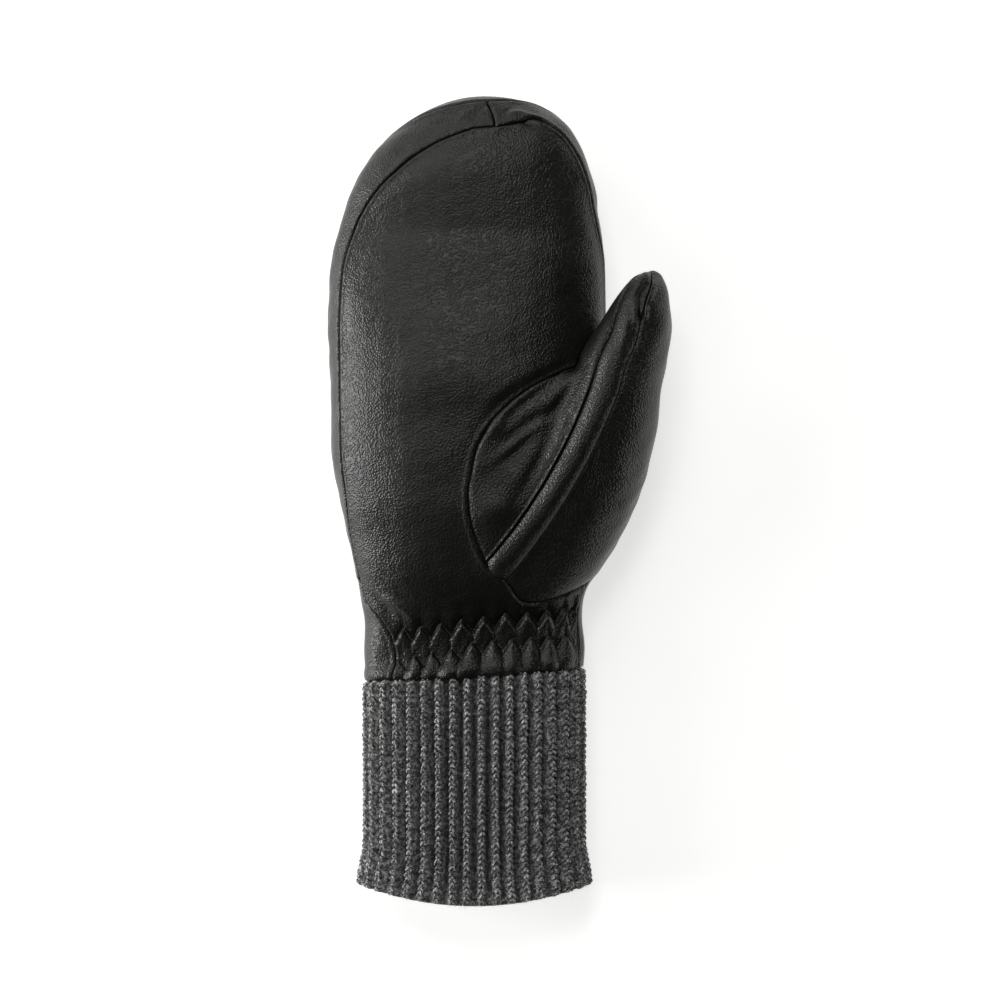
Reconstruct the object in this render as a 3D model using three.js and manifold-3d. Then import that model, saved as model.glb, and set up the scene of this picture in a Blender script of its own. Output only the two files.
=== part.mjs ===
// A right-hand leather mitten with a ribbed knit cuff, lying on its back.
// The palm faces up (+Z), the fingers point to +Y and the thumb is on the +X side. Millimetres.
//
// The leather hand is a hollow shell of sewn panels. It is worked out around a spine: level
// sections run from the wrist to the spine's end, and from there a fan of sections turns over
// the finger tips. On each section an angle runs from the palm's spine (0) over the side (90)
// to the back (180), and the sewn seams lie at angles of their own.
import * as THREE from "three";
import Module from "manifold-3d";

// Hand
const handLength = 204.5; // top edge of the cuff to the finger tips
const handWidth = 97;
const palmThickness = 47; // back to palm, at its fullest
const leatherWall = 3; // leather with its padding
const seamGap = 0.3;
const seamRoll = 0.9; // how far a panel's edge rolls in at its seam
const tuckDepth = 7; // leather hidden inside the cuff
const tuckClearance = 0.5;
const tuckSlope = 3; // height over which the leather narrows into the cuff

// Shirred wrist
const gatherTop = 21.5; // tips of the first row of gathers, above the cuff
const gatherStep = 9; // one row of gathers
const gatherRows = 2;
const gatherCount = 9;
const gatherLift = 1.7;
const gatherSink = 0.35; // share of the lift by which the valleys lie under the surface
const gatherCrest = 0.6; // below 1, a gather swells soonest after its tip
const gatherFade = 12; // the higher, the nearer to the seams the gathers run

// Thumb
const thumbLength = 40; // free length, from the crotch to the tip
const thumbWidth = 31.5;
const thumbDepth = 28;
const thumbHeight = 38; // middle of the thumb above the floor
const thumbBow = 3.8; // how far its long seams bow outwards below the crotch
const thumbBowAngle = 120; // the way they bow, in degrees from +Y to +X
const thumbHeelBow = 0.25; // share by which its heel bows further
const gussetStand = 0.6; // how far the gusset's edge stands over the palm
const gussetPuff = 2.5; // fullness of the gusset over the palm
const gussetFold = 1.8; // depth of the crease across the gusset
const gussetFoldAt = 0.72; // its place between the crotch edge and the first seam
const gussetFoldShare = 0.13; // its half width, as a share of that way

// Cuff
const cuffLength = 80; // folded edge to the middle of the hem
const cuffWidth = 76.5;
const cuffThickness = 34;
const cuffTilt = 4.7; // how much higher its top edge is on the thumb's side
const cuffFold = 1.9; // how far its folded edge stands above the joint with the leather
const knitWall = 4;
const ribCount = 38;
const ribDepth = 1.1;
const hemFlare = 2.2;
const hemFlareFrom = 0.22; // share of the cuff's length over which the hem flares
const hemBow = 6.5; // how much longer the cuff is at the middle of its hem than at its sides

// The hand's sections from the cuff to the spine's end. along is a share of that stretch.
// spine, left, right and the palm seam's setbacks are shares of the hand's width, left and
// right measured from the spine. top, level (of the side edges) and under are shares of the
// palm's thickness. backLeft and backRight are the angles of the seams to the back, and 0
// where the palm and the back meet in one seam with no side strip between them. lean is the
// slope of the section, higher on the thumb's side, as a share of the cuff's.
const sections = table(
  ["along", "spine", "left", "right", "top", "level", "under",
    "palmLeft", "palmRight", "backLeft", "backRight", "lean"],
  [
    [0.022, 0.025, 0.390, 0.397, 0.700, 0.360, 0.005, 0.097, 0.020, 0, 0, 1],
    [0.066, 0.025, 0.379, 0.395, 0.665, 0.360, 0.010, 0.101, 0.020, 0, 0, 1.9],
    [0.110, 0.025, 0.386, 0.393, 0.670, 0.360, 0.010, 0.095, 0.020, 0, 0, 1.9],
    [0.154, 0.022, 0.393, 0.401, 0.715, 0.370, 0.000, 0.066, 0.018, 0, 0, 1.6],
    [0.194, 0.022, 0.402, 0.417, 0.780, 0.390, -0.010, 0.017, 0.012, 0, 0, 1],
    [0.238, 0.018, 0.413, 0.458, 0.850, 0.415, -0.017, 0.010, 0.006, 88, 0, 0.5],
    [0.297, 0.014, 0.433, 0.478, 0.910, 0.440, -0.022, 0.011, 0.003, 106, 0, 0.15],
    [0.396, 0.007, 0.462, 0.491, 0.980, 0.460, -0.026, 0.025, 0.002, 119, 0, 0],
    [0.507, 0.007, 0.494, 0.493, 1.000, 0.465, -0.026, 0.038, 0.002, 123, 96, 0],
    [0.617, 0.007, 0.496, 0.494, 1.000, 0.470, -0.026, 0.036, 0.002, 124, 112, 0],
    [0.749, 0.007, 0.505, 0.494, 0.985, 0.475, -0.026, 0.043, 0.002, 124, 119, 0],
    [0.859, 0.022, 0.518, 0.478, 0.955, 0.480, -0.026, 0.047, 0.003, 122, 119, 0],
    [0.936, 0.047, 0.531, 0.449, 0.920, 0.490, -0.024, 0.053, 0.007, 120, 118, 0],
    [1.000, 0.072, 0.529, 0.411, 0.885, 0.500, -0.021, 0.063, 0.015, 117, 116, 0],
  ],
  "end",
);

// The fan over the finger tips. turn is in degrees from level to straight ahead, and the
// radii and setbacks are shares of the hand's width, measured from the spine's end.
const fan = table(
  ["turn", "left", "right", "level", "palmLeft", "palmRight", "backLeft", "backRight"],
  [
    [0, 0.529, 0.411, 0.500, 0.063, 0.015, 117, 116],
    [8, 0.511, 0.4065, 0.501, 0.072, 0.018, 113, 113],
    [18, 0.499, 0.414, 0.503, 0.090, 0.022, 108, 110],
    [36, 0.481, 0.437, 0.508, 0.114, 0.028, 97, 104],
    [54, 0.469, 0.469, 0.515, 0.118, 0.047, 80, 94],
    [66, 0.469, 0.473, 0.520, 0.121, 0.058, 73, 85],
    [78, 0.469, 0.469, 0.525, 0.118, 0.094, 70, 76],
    [90, 0.469, 0.469, 0.527, 0.119, 0.119, 70, 70],
  ],
  "start",
);

// The seam that lets the thumb into the palm, from the crotch round to the side of the wrist,
// across (share of the hand's width, from its middle line) and along (as in the sections).
const thumbSeam = table(
  ["across", "along"],
  [
    [0.390, 0.684], [0.314, 0.665], [0.198, 0.626], [0.105, 0.575], [0.043, 0.520],
    [0.013, 0.449], [0.005, 0.412], [0.018, 0.339], [0.072, 0.260], [0.141, 0.220],
    [0.202, 0.174], [0.267, 0.175], [0.339, 0.188], [0.428, 0.214], [0.476, 0.238],
  ],
);
const gussetEnd = 8; // the row of the seam above where the first thumb seam starts
const stripEnd = 9; // and the second

// The rest of the thumb's root, hidden inside the hand, from the wrist's side back to the
// crotch, with its height as a share of the palm's thickness.
const thumbRoot = table(
  ["across", "along", "height"],
  [[0.470, 0.240, 0.40], [0.405, 0.410, 0.28], [0.430, 0.590, 0.38], [0.452, 0.672, 0.62]],
);

// Sections of the free thumb. ahead and aside are shares of its length, wide and deep of its
// width and depth, high of its height. heading is the way it points, in degrees from +Y to
// +X, and inner and outer are the angles of its two long seams, 0 at its top.
const thumbSections = table(
  ["ahead", "aside", "wide", "deep", "high", "heading", "inner", "outer"],
  [
    [0.000, 0.000, 0.500, 0.500, 1.000, 21, -33, 4],
    [0.358, 0.131, 0.422, 0.430, 1.020, 25, -38, 4],
    [0.585, 0.218, 0.356, 0.370, 1.025, 28, -56, -4],
    [0.795, 0.271, 0.245, 0.265, 1.015, 28, -62, 0],
    [0.900, 0.306, 0.150, 0.160, 1.005, 26, -60, 4],
    [0.950, 0.325, 0.022, 0.025, 1.000, 24, -60, 6],
  ],
);
const thumbAcross = 0.545; // middle of the thumb at its crotch, as the thumb seam is given
const thumbAlong = 0.656;
const thumbBackSeam = 230; // angle of the seam on the thumb's far side
const thumbTipRadius = 0.4;
const rootSink = 5; // how deep the thumb's root reaches before it is trimmed to the palm
const rootHidden = 3.9; // the place around it where it runs deepest inside the hand
const rootHiddenShare = 0.7; // how many places from there it comes back to the palm
const rootTurn = 3; // how quickly

// How square the sections are: 2 is an ellipse.
const palmPower = 2.4;
const backPower = 2.8; // the back and the cuff, pressed flatter where they lie

const stripStart = 4; // the least angle that a side strip spans
const stripPoint = 0.3; // where its point lies between the seam's fork and its first row

// The spine ends as far below the finger tips as the fan reaches straight ahead, and the cuff
// sits around the middle of the wrist.
const tips = fan.rows.at(-1);
const spineEnd = handLength - tips.left * handWidth;
const wrist = sections.rows[0];
const cuffCentre = (wrist.spine + (wrist.right - wrist.left) / 2) * handWidth;

// A table with named columns, read between its rows along a smooth curve with no overshoot.
// The curve is level at its two ends, but for the one that it runs on past.
function table(names, rows, runsOn = "") {
  const key = (row) => row[0];
  const climb = (k, c) => (rows[k + 1][c] - rows[k][c]) / (key(rows[k + 1]) - key(rows[k]));
  const slope = (k, c) => {
    if (k === 0) return runsOn === "start" ? climb(0, c) : 0;
    if (k === rows.length - 1) return runsOn === "end" ? climb(k - 1, c) : 0;
    const before = climb(k - 1, c);
    const after = climb(k, c);
    return before * after <= 0 ? 0 : (2 * before * after) / (before + after);
  };
  return {
    rows: rows.map((row) => Object.fromEntries(names.map((name, c) => [name, row[c]]))),
    at(name, value) {
      const c = names.indexOf(name);
      const last = rows.length - 1;
      const v = THREE.MathUtils.clamp(value, key(rows[0]), key(rows[last]));
      let k = 0;
      while (k < last - 1 && v > key(rows[k + 1])) k += 1;
      const span = key(rows[k + 1]) - key(rows[k]);
      const s = (v - key(rows[k])) / span;
      const bend = s * s * (3 - 2 * s);
      const ease = s * (1 - s) * (1 - s) * span * slope(k, c);
      const brake = s * s * (s - 1) * span * slope(k + 1, c);
      return rows[k][c] + (rows[k + 1][c] - rows[k][c]) * bend + ease + brake;
    },
  };
}

const { degToRad, clamp, lerp, smoothstep } = THREE.MathUtils;
const sides = ["left", "right"];
const sideSign = { left: -1, right: 1 };

const wasm = await Module();
wasm.setup();

// The part of the leather inside the cuff takes its size from the cuff, with a clearance.
const tuckHalfWidth = cuffWidth / 2 - knitWall - ribDepth - tuckClearance;
const tuckHalfHeight = cuffThickness / 2 - knitWall - ribDepth - tuckClearance;

// A section of the hand: its middle, its reach to each side, its heights and its seams.
function handSection(along) {
  const read = (name) => sections.at(name, along);
  return withSeams({
    turn: 0,
    x: read("spine") * handWidth,
    y: along * spineEnd,
    lean: (read("lean") * cuffTilt) / cuffWidth,
    left: read("left") * handWidth,
    right: read("right") * handWidth,
    top: read("top") * palmThickness,
    level: read("level") * palmThickness,
    under: read("under") * palmThickness,
  }, read);
}

function fanSection(turn) {
  const end = handSection(1);
  const read = (name) => fan.at(name, turn);
  return withSeams({
    ...end,
    turn,
    left: read("left") * handWidth,
    right: read("right") * handWidth,
    level: read("level") * palmThickness,
  }, read);
}

function tuckSection(y) {
  const first = handSection(0);
  return {
    ...first,
    x: cuffCentre,
    y,
    left: tuckHalfWidth,
    right: tuckHalfWidth,
    top: cuffThickness / 2 + tuckHalfHeight,
    level: cuffThickness / 2,
    under: cuffThickness / 2 - tuckHalfHeight,
  };
}

// The angle of each palm seam comes from how far inside the side edge it shows.
function withSeams(section, read) {
  section.palm = {};
  section.back = {};
  for (const side of sides) {
    const name = side === "left" ? "Left" : "Right";
    const share = 1 - (read("palm" + name) * handWidth) / section[side];
    section.palm[side] = (Math.asin(share ** (palmPower / 2)) * 180) / Math.PI;
    const back = read("back" + name);
    section.back[side] = back > section.palm[side] + stripStart ? back : section.palm[side];
  }
  return section;
}

// A point of the hand's surface. The angle is below zero on the left and above on the right.
function handPoint(section, angle, inset) {
  const side = angle < 0 ? "left" : "right";
  const turn = degToRad(section.turn);
  const a = degToRad(Math.abs(angle));
  const palmSide = Math.abs(angle) <= 90;
  const power = palmSide ? palmPower : backPower;
  const out = (section[side] - inset) * Math.sin(a) ** (2 / power);
  const rise = Math.abs(Math.cos(a)) ** (2 / power);
  const above = section.top - section.level - inset;
  const below = section.level - section.under - inset;
  const z = section.level + (palmSide ? above : -below) * rise;
  const x = section.x + sideSign[side] * out * Math.cos(turn);
  const y = section.y + out * Math.sin(turn) + section.lean * (x - cuffCentre);
  return new THREE.Vector3(x, y, Math.max(z, inset));
}

// Raised leaves of leather between the elastic threads, each row set half a leaf aside.
function gatherRelief(section, place) {
  const row = (gatherTop - section.y) / gatherStep;
  if (row <= 0 || row >= gatherRows) return 0;
  const index = Math.floor(row);
  const leaf = Math.cos(Math.PI * (place * gatherCount + index / 2)) ** 2;
  const swell = Math.sin(Math.PI * (row - index) ** gatherCrest);
  return gatherLift * swell * (leaf - gatherSink);
}

// Rows of the hand, from the hidden end in the cuff to the middle of the finger tips.
const gatherSteps = 10;
const handSteps = 15;
const fanSteps = 10;
const tuckTop = cuffFold - tuckSlope / 2;
const gatherEnd = gatherTop + gatherStep / 6;
const stations = [
  tuckSection(-tuckDepth),
  tuckSection(tuckTop),
  ...steps(gatherSteps, tuckTop + tuckSlope, gatherEnd).map((y) => handSection(y / spineEnd)),
  ...steps(handSteps, gatherEnd / spineEnd, 1).slice(1).map(handSection),
  ...steps(fanSteps, 0, tips.turn).slice(1).map(fanSection),
];

// Evenly spaced values from a to b, both ends included.
function steps(count, a, b) {
  return Array.from({ length: count + 1 }, (_, k) => lerp(a, b, k / count));
}

// Columns of a panel as shares of its width, closer together beside the seams.
const halfColumns = [0, 0.14, 0.3, 0.46, 0.61, 0.75, 0.87, 0.955, 1];
const innerColumns = [0, 0.2, 0.4, 0.6, 0.8, 1];
const stripColumns = [0, 0.15, 0.5, 0.85, 1];
const gatherColumns = [...steps(22, 0, 0.97), 1];
const across = mirrored(halfColumns);
const acrossGathers = mirrored(gatherColumns);
const innerAcross = mirrored(innerColumns);

function mirrored(half) {
  return [...half.slice(1).reverse().map((c) => -c), ...half];
}

// Draws the two ends of a row of points back from the seam, by half its gap.
function openSeams(row) {
  const last = row.length - 1;
  const first = row[0].clone();
  const end = row[last].clone();
  draw(first, row[1]);
  draw(end, row[last - 1]);
  return [first, ...row.slice(1, last), end];
}

function draw(point, towards) {
  const way = towards.clone().sub(point);
  if (way.length() > 0) point.add(way.setLength(seamGap / 2));
}

function palmRow(section, columns, inset) {
  const { left, right } = section.palm;
  const outer = inset === 0;
  const row = columns.map((c) => {
    const angle = c < 0 ? c * left : c * right;
    const place = (angle + left) / (left + right);
    const relief = outer ? gatherRelief(section, place) * (1 - Math.abs(c) ** gatherFade) : 0;
    const roll = outer && Math.abs(c) === 1 ? seamRoll : 0;
    return handPoint(section, angle, inset + roll - relief);
  });
  return openSeams(row);
}

function backRow(section, columns, inset) {
  const { left, right } = section.back;
  const row = columns.map((c) => {
    const edge = c < 0 ? left : right;
    const angle = 180 - Math.abs(c) * (180 - edge);
    const roll = inset === 0 && Math.abs(c) === 1 ? seamRoll : 0;
    return handPoint(section, c < 0 ? -angle : angle, inset + roll);
  });
  return openSeams(row);
}

function stripRow(section, side, columns, inset) {
  const palm = section.palm[side];
  const back = section.back[side];
  const row = columns.map((c) => {
    const roll = inset === 0 && (c === 0 || c === 1) ? seamRoll : 0;
    return handPoint(section, sideSign[side] * lerp(palm, back, c), inset + roll);
  });
  return openSeams(row);
}

// Triangles between two rows of points that run side by side, whatever their counts.
function weave(faces, a, b) {
  let i = 0;
  let j = 0;
  while (i < a.length - 1 || j < b.length - 1) {
    const stepA = i < a.length - 1 ? (i + 1) / (a.length - 1) : 2;
    const stepB = j < b.length - 1 ? (j + 1) / (b.length - 1) : 2;
    if (stepA <= stepB) {
      faces.push([a[i], a[i + 1], b[j]]);
      i += 1;
    } else {
      faces.push([a[i], b[j + 1], b[j]]);
      j += 1;
    }
  }
}

// A panel with thickness, from the rows of its outer and inner faces. Where it is folded, its
// last row closes on itself.
function panel(outer, inner, folded = false) {
  const faces = [];
  const last = outer.length - 1;
  for (let k = 0; k < last; k += 1) {
    weave(faces, outer[k], outer[k + 1]);
    weave(faces, inner[k + 1], inner[k]);
    weave(faces, [outer[k + 1][0], inner[k + 1][0]], [outer[k][0], inner[k][0]]);
    weave(faces, [outer[k].at(-1), inner[k].at(-1)], [outer[k + 1].at(-1), inner[k + 1].at(-1)]);
  }
  weave(faces, inner[0], outer[0]);
  if (!folded) weave(faces, outer[last], inner[last]);
  return solid(faces);
}

// A closed tube of ring rows, with a cap on its first row and, unless folded, on its last.
function plug(openRows, folded) {
  const rows = openRows.map((row) => [...row.slice(0, -1), row[0]]);
  const faces = [];
  for (let k = 0; k < rows.length - 1; k += 1) weave(faces, rows[k], rows[k + 1]);
  cap(faces, rows[0], true);
  if (!folded) cap(faces, rows.at(-1), false);
  return solid(faces);
}

function cap(faces, ring, first) {
  const middle = new THREE.Vector3();
  for (const point of ring) middle.addScaledVector(point, 1 / ring.length);
  for (let k = 0; k < ring.length - 1; k += 1) {
    faces.push(first ? [middle, ring[k + 1], ring[k]] : [middle, ring[k], ring[k + 1]]);
  }
}

// Welds the corners of the faces, drops faces without an area and makes a solid.
function solid(faces) {
  const index = new Map();
  const points = [];
  const corner = (p) => {
    const key = p.toArray().map((v) => Math.round(v * 1e4)).join();
    if (!index.has(key)) {
      index.set(key, points.length / 3);
      points.push(...p.toArray());
    }
    return index.get(key);
  };
  const triangles = faces
    .map((face) => face.map(corner))
    .filter(([a, b, c]) => a !== b && b !== c && c !== a);
  const volume = faces.reduce((sum, [a, b, c]) => sum + a.dot(b.clone().cross(c)), 0);
  if (volume < 0) triangles.forEach((t) => t.reverse());
  return new wasm.Manifold(new wasm.Mesh({
    numProp: 3,
    vertProperties: new Float32Array(points),
    triVerts: new Uint32Array(triangles.flat()),
  }));
}

function largest(manifold) {
  return manifold.decompose().sort((a, b) => b.volume() - a.volume())[0];
}

// The sewn panels of the hand.
function palmPanel() {
  const gathered = (st) => st.y > 0 && st.y < gatherTop;
  const outer = stations.map((st) => palmRow(st, gathered(st) ? acrossGathers : across, 0));
  const inner = stations.map((st) => palmRow(st, innerAcross, leatherWall));
  return panel(outer, inner, true);
}

function backPanel() {
  const outer = stations.map((st) => backRow(st, across, 0));
  const inner = stations.map((st) => backRow(st, innerAcross, leatherWall));
  return panel(outer, inner, true);
}

// A side strip starts in a point between the palm and the back and ends at the tip joint.
function sideStrip(side) {
  const wide = stations.filter((st) => st.back[side] > st.palm[side]);
  const before = stations[stations.indexOf(wide[0]) - 1];
  const rows = (inset) => {
    const drawn = wide.map((st) => stripRow(st, side, stripColumns, inset));
    const seam = handPoint(before, sideSign[side] * before.palm[side], inset);
    const middle = drawn[0][Math.floor(stripColumns.length / 2)];
    const point = seam.lerp(middle, stripPoint);
    const end = drawn.length - 1;
    drawn[end] = drawn[end].map((p, k) => {
      const way = drawn[end - 1][k].clone().sub(p);
      return p.clone().add(way.setLength(seamGap / 2));
    });
    return [stripColumns.map(() => point), ...drawn];
  };
  return panel(rows(0), rows(leatherWall));
}

const formSides = 36;

// The hand's whole outer form, larger by a clearance, to trim what is sewn onto it.
function handForm(clearance) {
  const around = steps(formSides, -180, 180);
  return plug(stations.map((st) => around.map((a) => handPoint(st, a, -clearance))), true);
}

// Height of the palm's outer face over a place given as in the thumb's seam.
function palmHeight(across, along) {
  const section = handSection(along);
  const aside = across * handWidth - section.x;
  const reach = aside < 0 ? section.left : section.right;
  const share = Math.min(Math.abs(aside) / reach, 1);
  const rise = (1 - share ** palmPower) ** (1 / palmPower);
  return section.level + (section.top - section.level) * rise;
}

// The thumb's root as a closed loop: the seam on the palm, then the hidden stretch.
const rootLoop = [
  ...thumbSeam.rows.map((p) => ({ ...p, z: palmHeight(p.across, p.along) + gussetStand })),
  ...thumbRoot.rows.map((p) => ({ ...p, z: p.height * palmThickness })),
].map((p) => new THREE.Vector3(p.across * handWidth, p.along * spineEnd, p.z));
const rootCurve = new THREE.CatmullRomCurve3(rootLoop, true, "centripetal");
const rootMiddle = new THREE.Box3().setFromPoints(rootLoop).getCenter(new THREE.Vector3());

// Around the thumb, 0 is its edge at the crotch, 1 its first seam, 2 its second, 3 its outer
// side, 4 the seam on its far side and 5 the crotch again.
const seamRows = thumbSeam.rows.length;
const farSeam = seamRows + 2; // the row of the loop where the far-side seam starts
const rootMarks = [0, gussetEnd, stripEnd, seamRows - 1, farSeam, rootLoop.length];

function between(marks, s) {
  const k = Math.min(Math.floor(s), marks.length - 2);
  return lerp(marks[k], marks[k + 1], s - k);
}

// Inside the hand's root the far half of the loop is already in the hollow, so that only the
// half on the palm is sunk.
function rootPoint(s, inset, sink) {
  const point = rootCurve.getPoint((between(rootMarks, s) / rootLoop.length) % 1);
  const flat = new THREE.Vector3(rootMiddle.x - point.x, rootMiddle.y - point.y, 0);
  point.add(flat.setLength(inset));
  const onPalm = clamp((Math.abs(s - rootHidden) - rootHiddenShare) * rootTurn, -1, 1);
  point.z -= onPalm > 0 ? (inset + sink) * onPalm : inset * onPalm;
  return point;
}

function thumbPoint(ahead, s, inset) {
  const read = (name) => thumbSections.at(name, ahead);
  const tip = thumbSections.rows.at(-1).ahead;
  const back = 1 - inset / (tip * thumbLength);
  const marks = [-90, read("inner"), read("outer"), 90, thumbBackSeam, 270];
  const angle = degToRad(between(marks, s));
  const heading = degToRad(read("heading"));
  const wide = Math.max(read("wide") * thumbWidth - inset, thumbTipRadius) * Math.sin(angle);
  const deep = Math.max(read("deep") * thumbDepth - inset, thumbTipRadius) * Math.cos(angle);
  return new THREE.Vector3(
    thumbAcross * handWidth + read("aside") * back * thumbLength + wide * Math.cos(heading),
    thumbAlong * spineEnd + ahead * back * thumbLength - wide * Math.sin(heading),
    read("high") * thumbHeight + deep,
  );
}

// Between the root and the crotch the surface passes from one loop to the other, bowed
// outwards at the heel and puffed over the palm, with one crease across the gusset.
function gussetPoint(share, s, inset) {
  const root = rootPoint(s, inset, 0);
  const point = root.lerp(thumbPoint(0, s, inset), share);
  const middle = 4 * share * (1 - share);
  const heel = 1 + thumbHeelBow * smoothstep(s, 2, 3);
  const outward = heel * (s < 1 ? smoothstep(s, 0, 1) : 1 - smoothstep(s, 3, 5));
  point.x += thumbBow * Math.sin(degToRad(thumbBowAngle)) * middle * outward;
  point.y += thumbBow * Math.cos(degToRad(thumbBowAngle)) * middle * outward;
  const onTop = s < 3 ? Math.sin((Math.PI * s) / 3) : 0;
  point.z += gussetPuff * middle * onTop;
  const crease = Math.exp(-(((s - gussetFoldAt) / gussetFoldShare) ** 2));
  if (s < 1) point.z -= gussetFold * crease * middle;
  return point;
}

const gussetRows = [0, 0.05, 0.15, 0.3, 0.46, 0.63, 0.8, 0.92];
const thumbRows = [0, 0.18, 0.358, 0.5, 0.62, 0.72, 0.81, 0.88, 0.92, 0.95];

function thumbRowsOf(places, inset, sink) {
  return [
    places.map((s) => rootPoint(s, inset, sink)),
    ...gussetRows.map((share) => places.map((s) => gussetPoint(share, s, inset))),
    ...thumbRows.map((ahead) => places.map((s) => thumbPoint(ahead, s, inset))),
  ];
}

// A piece of the thumb between two places around it, trimmed to the hand that it sits on.
function thumbPiece(places) {
  const outer = thumbRowsOf(places, 0, rootSink).map(openSeams);
  const inner = thumbRowsOf(places, leatherWall, rootSink).map(openSeams);
  return largest(panel(outer, inner).subtract(handForm(seamGap)));
}

const thumbHollow = plug(thumbRowsOf(steps(40, 0, 5), leatherWall, rootSink + leatherWall), false);
const withThumbHole = (piece) => largest(piece.subtract(thumbHollow));

// The cuff's knit, doubled over at its top edge. Its outline runs once round the wall, from
// the inside of the hem up to the fold and down the outside.
const cuffOutline = table(
  ["step", "up", "out", "ribs"],
  [
    [0, 0.02, -1, 0.3], [1, 0.25, -1, 0.3], [2, 0.975, -1, 0.3], [3, 0.995, -0.6, 0.3],
    [4, 1, 0, 0.5], [5, 0.993, 0.6, 0.8], [6, 0.975, 1, 1], [7, 0.6, 0.97, 1],
    [8, 0.25, 0.97, 1], [9, 0.1, 1, 1], [10, 0.025, 1, 0.9], [11, 0.004, 0.5, 0.5],
    [12, 0, -0.3, 0.4],
  ],
);

function cuffPoint(row, turn, rib = 0) {
  const { up, out, ribs } = row;
  const wave = 0.5 + 0.5 * Math.cos(2 * Math.PI * rib);
  const flare = hemFlare * smoothstep(hemFlareFrom - up, 0, hemFlareFrom);
  const wall = knitWall / 2;
  const offset = out * wall - wall - (1 - wave) * ribDepth * ribs * Math.sign(out || 1) + flare;
  const power = 2 / backPower;
  const aside = Math.sign(Math.cos(turn)) * Math.abs(Math.cos(turn)) ** power;
  const height = Math.sign(Math.sin(turn)) * Math.abs(Math.sin(turn)) ** power;
  const x = (cuffWidth / 2 + offset) * aside;
  const z = cuffThickness / 2 + (cuffThickness / 2 + offset) * height;
  const top = cuffFold + (cuffTilt * x) / cuffWidth;
  const hem = cuffFold - cuffLength + hemBow * aside ** 2;
  return new THREE.Vector3(cuffCentre + x, lerp(hem, top, up), Math.max(z, 0));
}

// Turns around the cuff that space its ribs evenly along its outline.
function evenTurns(count) {
  const fine = steps(count * 8, 0, 2 * Math.PI);
  const lengths = [0];
  const place = (turn) => cuffPoint({ up: 0.5, out: 1, ribs: 0 }, turn);
  fine.slice(1).forEach((turn, k) => {
    lengths.push(lengths[k] + place(turn).distanceTo(place(fine[k])));
  });
  return steps(count, 0, lengths.at(-1)).slice(0, count).map((length) => {
    const k = Math.max(lengths.findIndex((l) => l > length), 1);
    const share = (length - lengths[k - 1]) / (lengths[k] - lengths[k - 1]);
    return lerp(fine[k - 1], fine[k], share);
  });
}

const columnsPerRib = 3;

// The cuff as one closed wall, its rings joined in turn and the last to the first.
function knitCuff() {
  const turns = evenTurns(ribCount * columnsPerRib);
  const rings = cuffOutline.rows.map((row) => {
    const ring = turns.map((turn, k) => cuffPoint(row, turn, k / columnsPerRib));
    return [...ring, ring[0]];
  });
  const faces = [];
  rings.forEach((ring, k) => weave(faces, ring, rings[(k + 1) % rings.length]));
  return solid(faces);
}

// Each finished piece becomes a named mesh with its own material.
const mitten = new THREE.Group();

function add(name, manifold, color, roughness) {
  const { vertProperties, triVerts } = manifold.getMesh();
  const geometry = new THREE.BufferGeometry();
  geometry.setAttribute("position", new THREE.BufferAttribute(vertProperties, 3));
  geometry.setIndex(new THREE.BufferAttribute(triVerts, 1));
  geometry.computeVertexNormals();
  const material = new THREE.MeshStandardMaterial({ color, roughness, metalness: 0 });
  const mesh = new THREE.Mesh(geometry, material);
  mesh.name = name;
  mitten.add(mesh);
}

const leather = [0x1c1c1a, 0.48];
add("palm_panel", withThumbHole(palmPanel()), ...leather);
add("back_panel", withThumbHole(backPanel()), ...leather);
add("outer_side_strip", sideStrip("left"), ...leather);
add("inner_side_strip", withThumbHole(sideStrip("right")), ...leather);
add("thumb_inner", thumbPiece(steps(8, 1, 0).concat(steps(3, 5, 4).slice(1))), ...leather);
add("thumb_strip", thumbPiece(steps(3, 1, 2)), ...leather);
add("thumb_outer", thumbPiece(steps(12, 2, 4)), ...leather);
add("knit_cuff", knitCuff(), 0x55565a, 0.95);

// The origin is under the middle of the mitten, on the surface it lies on.
const box = new THREE.Box3().setFromObject(mitten);
const middle = box.getCenter(new THREE.Vector3());
mitten.position.set(-middle.x, -middle.y, -box.min.z);

export default mitten;
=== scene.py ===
"""A right-hand leather mitten with a ribbed knit cuff, lying palm up on a pale studio floor."""
import math
import bpy
import numpy as np
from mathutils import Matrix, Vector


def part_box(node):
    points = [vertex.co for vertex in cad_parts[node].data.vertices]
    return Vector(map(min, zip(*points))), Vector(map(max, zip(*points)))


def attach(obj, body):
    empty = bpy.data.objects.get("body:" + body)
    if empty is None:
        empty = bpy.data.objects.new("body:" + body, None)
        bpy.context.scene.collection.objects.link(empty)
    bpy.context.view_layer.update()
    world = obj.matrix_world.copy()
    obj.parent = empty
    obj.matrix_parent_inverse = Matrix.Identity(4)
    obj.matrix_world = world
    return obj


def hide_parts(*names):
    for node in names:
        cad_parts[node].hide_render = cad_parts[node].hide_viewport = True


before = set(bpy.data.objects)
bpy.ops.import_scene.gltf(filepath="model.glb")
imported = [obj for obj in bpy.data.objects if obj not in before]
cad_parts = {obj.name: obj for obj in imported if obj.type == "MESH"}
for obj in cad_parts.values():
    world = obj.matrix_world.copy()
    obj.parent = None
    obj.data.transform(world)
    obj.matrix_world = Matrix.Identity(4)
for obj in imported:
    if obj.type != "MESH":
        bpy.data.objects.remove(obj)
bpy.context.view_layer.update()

# Palm
# The palm is one piece of soft black hide, cut to the hand, closed into the side strips by
# inseams and let in at the wrist, where two rows of elastic shirr it into pointed gathers.

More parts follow.
